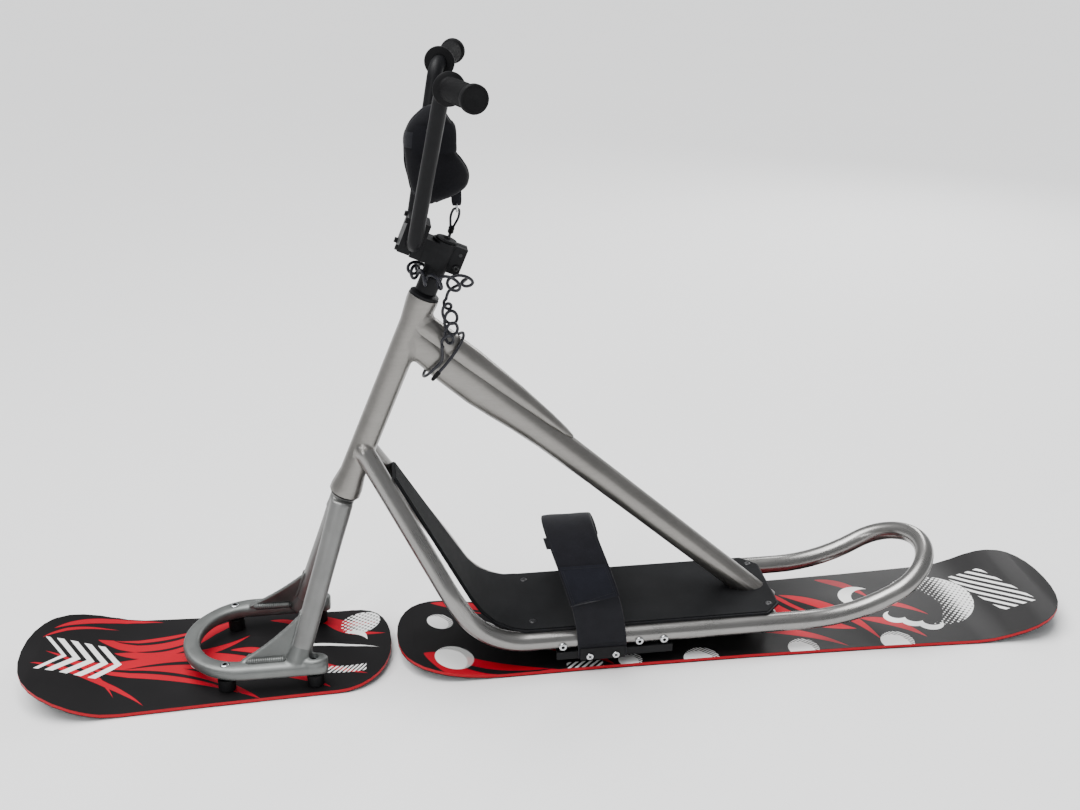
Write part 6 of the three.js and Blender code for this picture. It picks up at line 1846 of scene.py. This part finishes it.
def bead(name, path, radius, pitch):
    """A rippled weld bead along an open path, tapered at both ends."""
    length = sum((q - p).length for p, q in zip(path, path[1:]))
    count = max(FEWEST_STEPS, round(length / pitch * BEAD_STEPS))
    least, ripple = BEAD_SWELL

    def size(i):
        ends = min(1, math.sin(math.pi * min(i, count - i, count / 8) / (count / 4)) + BEAD_TIP)
        return radius * ends * (least + ripple * abs(math.sin(math.pi * length / pitch * i / count)))

    tube(name, spline(path, count), size, BEAD_SIDES, "steering", "cast_metal")


def leg_place(side, z):
    """The place on a fork leg's middle line at a height."""
    foot, top = leg_line(side)
    return foot + (top - foot) * ((z - foot.z) / (top.z - foot.z))


joint_parts = [turned_part(JOINT_PROFILE, head_point(0, 0, JOINT_UP), HEAD_AXIS, ROUND_SIDES)]
for side in (-1, 1):
    start, shoulder = rail_corners(side)[:2]
    joint_parts.append(turned_part(RAIL_END_PROFILE, start, (shoulder - start).normalized(), ROUND_SIDES))
blended("weld_rails_head", joint_parts, "frame", "head_metal", FINE_VOXEL, FINE_PASSES,
        holes=[head_bore], sharp=SEAM_CREASE)
fillet("weld_main_head", "main_tube", "head_tube", head_point(0, 0, MAIN_TUBE_UP), -MAIN_AXIS, *MAIN_WELD)
for side, word in SIDES:
    fillet("weld_%s_cross" % word, CROSS_RADIUS, word + "_side_tube",
           point(CROSS_TUBE_X, side * RAIL_HALF, RAIL_HEIGHT), (0, side, 0), *CROSS_WELD)
    foot, top = leg_line(side)
    leg_way = (top - foot).normalized()
    ahead = (FORWARD - leg_way * leg_way.dot(FORWARD)).normalized()
    arm_place = leg_place(side, ARM_TOP)
    for flank, flank_word in ((-1, "outer"), (1, "inner")):
        y = arm_place.y + side * GUSSET_HALF * -flank - side * flank * FOOT_BEAD_OUT
        front = GUSSET_FRONT + FOOT_BEAD_INSET
        rear = arm_place.x - LEG_RADIUS - FOOT_BEAD_GAP
        foot_path = [point(front + (rear - front) * i / FOOT_BEAD_STEPS, y, ARM_TOP + FOOT_BEAD_RAISE)
                     for i in range(FOOT_BEAD_STEPS + 1)]
        bead("gusset_foot_%s_%s" % (word, flank_word), foot_path, *FOOT_BEAD)
        beside = point(0, -side * flank * (GUSSET_HALF + RISE_BEAD_OUT), 0)
        rise = [leg_place(side, z) + ahead * (LEG_RADIUS - RISE_BEAD_SINK) + beside
                for z in RISE_BEAD_HEIGHTS]
        bead("gusset_rise_%s_%s" % (word, flank_word), rise, *RISE_BEAD)


# Camera and studio

SENSOR = 36
FOCAL_SHARE = 1249.95 / 1080
YAW = 0.1267
PITCH = 0.4186
ROLL = -0.0047
CAMERA_PLACE = (85.42, -1777.74, 1230.3)
NEAREST = 0.05
FARTHEST = 60
SKY_COLOUR = (0.96, 0.975, 1, 1)
SKY_STRENGTH = 0.42
SUN_STRENGTH = 4.2
SUN_ANGLE = 50
SUN_WAY = (0.35, -0.12, -1)
PAPER_TONES = ((0.88, 0.88, 0.88), (0.9, 0.9, 0.9))
PAPER_CLOUD = 600
FLOOR_HALF = 40
FLOOR_HEIGHT = -0.0005
# Place and target in metres of the row frame, then width and height
SOFTBOXES = {
    "top_light": ((-0.3, -0.2, 2.6), (0.1, 0, 0.2), 2.2, 0.5),
    "front_light": ((-1.6, -2.4, 2.2), (0, 0, 0.4), 0.5, 2.0),
    "rear_light": ((1.6, 2.4, 1.8), (0, 0, 0.35), 0.5, 2.0),
}
SOFTBOX_POWER = 30


def camera():
    """The photograph's camera, fitted to the object's own points."""
    data = bpy.data.cameras.new("photo_camera")
    data.sensor_width = SENSOR
    data.lens = SENSOR * FOCAL_SHARE
    data.clip_start = NEAREST
    data.clip_end = FARTHEST
    ahead = Vector((math.sin(YAW) * math.cos(PITCH), math.cos(YAW) * math.cos(PITCH), -math.sin(PITCH)))
    right = ahead.cross(Vector((0, 0, 1))).normalized()
    up = right.cross(ahead)
    spun_right = right * math.cos(ROLL) + up * math.sin(ROLL)
    spun_up = up * math.cos(ROLL) - right * math.sin(ROLL)
    turn = Matrix((spun_right, spun_up, -ahead)).transposed()
    obj = placed("photo_camera", data)
    obj.matrix_world = Matrix.Translation(to_row(CAMERA_PLACE)) @ turn.to_4x4()
    bpy.context.scene.camera = obj


def lamp(name, data, way):
    """A lamp that shines along a direction."""
    obj = placed(name, data)
    obj.rotation_mode = "QUATERNION"
    obj.rotation_quaternion = Vector(way).to_track_quat("-Z", "Y")
    return obj


def studio():
    """A pale paper floor, an even sky, a wide soft sun and three softboxes."""
    world = bpy.data.worlds.new("studio")
    bpy.context.scene.world = world
    world.use_nodes = True
    background = world.node_tree.nodes["Background"]
    background.inputs["Color"].default_value = SKY_COLOUR
    background.inputs["Strength"].default_value = SKY_STRENGTH
    paint = Paint("floor_paper", roughness=0.9, specular_ior_level=0.05)
    paint.colour(paint.mix(paint.noise(size=PAPER_CLOUD, detail=2), *PAPER_TONES))
    mesh = bpy.data.meshes.new("floor")
    signs = ((-1, -1), (1, -1), (1, 1), (-1, 1))
    corners = [(FLOOR_HALF * x, FLOOR_HALF * y, FLOOR_HEIGHT) for x, y in signs]
    mesh.from_pydata(corners, [], [(0, 1, 2, 3)])
    mesh.materials.append(paint.material)
    placed("floor", mesh)
    data = bpy.data.lights.new("key_light", "SUN")
    data.energy = SUN_STRENGTH
    data.angle = math.radians(SUN_ANGLE)
    lamp("key_light", data, SUN_WAY)
    for name, (place, target, width, height) in SOFTBOXES.items():
        data = bpy.data.lights.new(name, "AREA")
        data.shape = "RECTANGLE"
        data.size = width
        data.size_y = height
        data.energy = SOFTBOX_POWER
        lamp(name, data, Vector(target) - Vector(place)).location = place


camera()
studio()
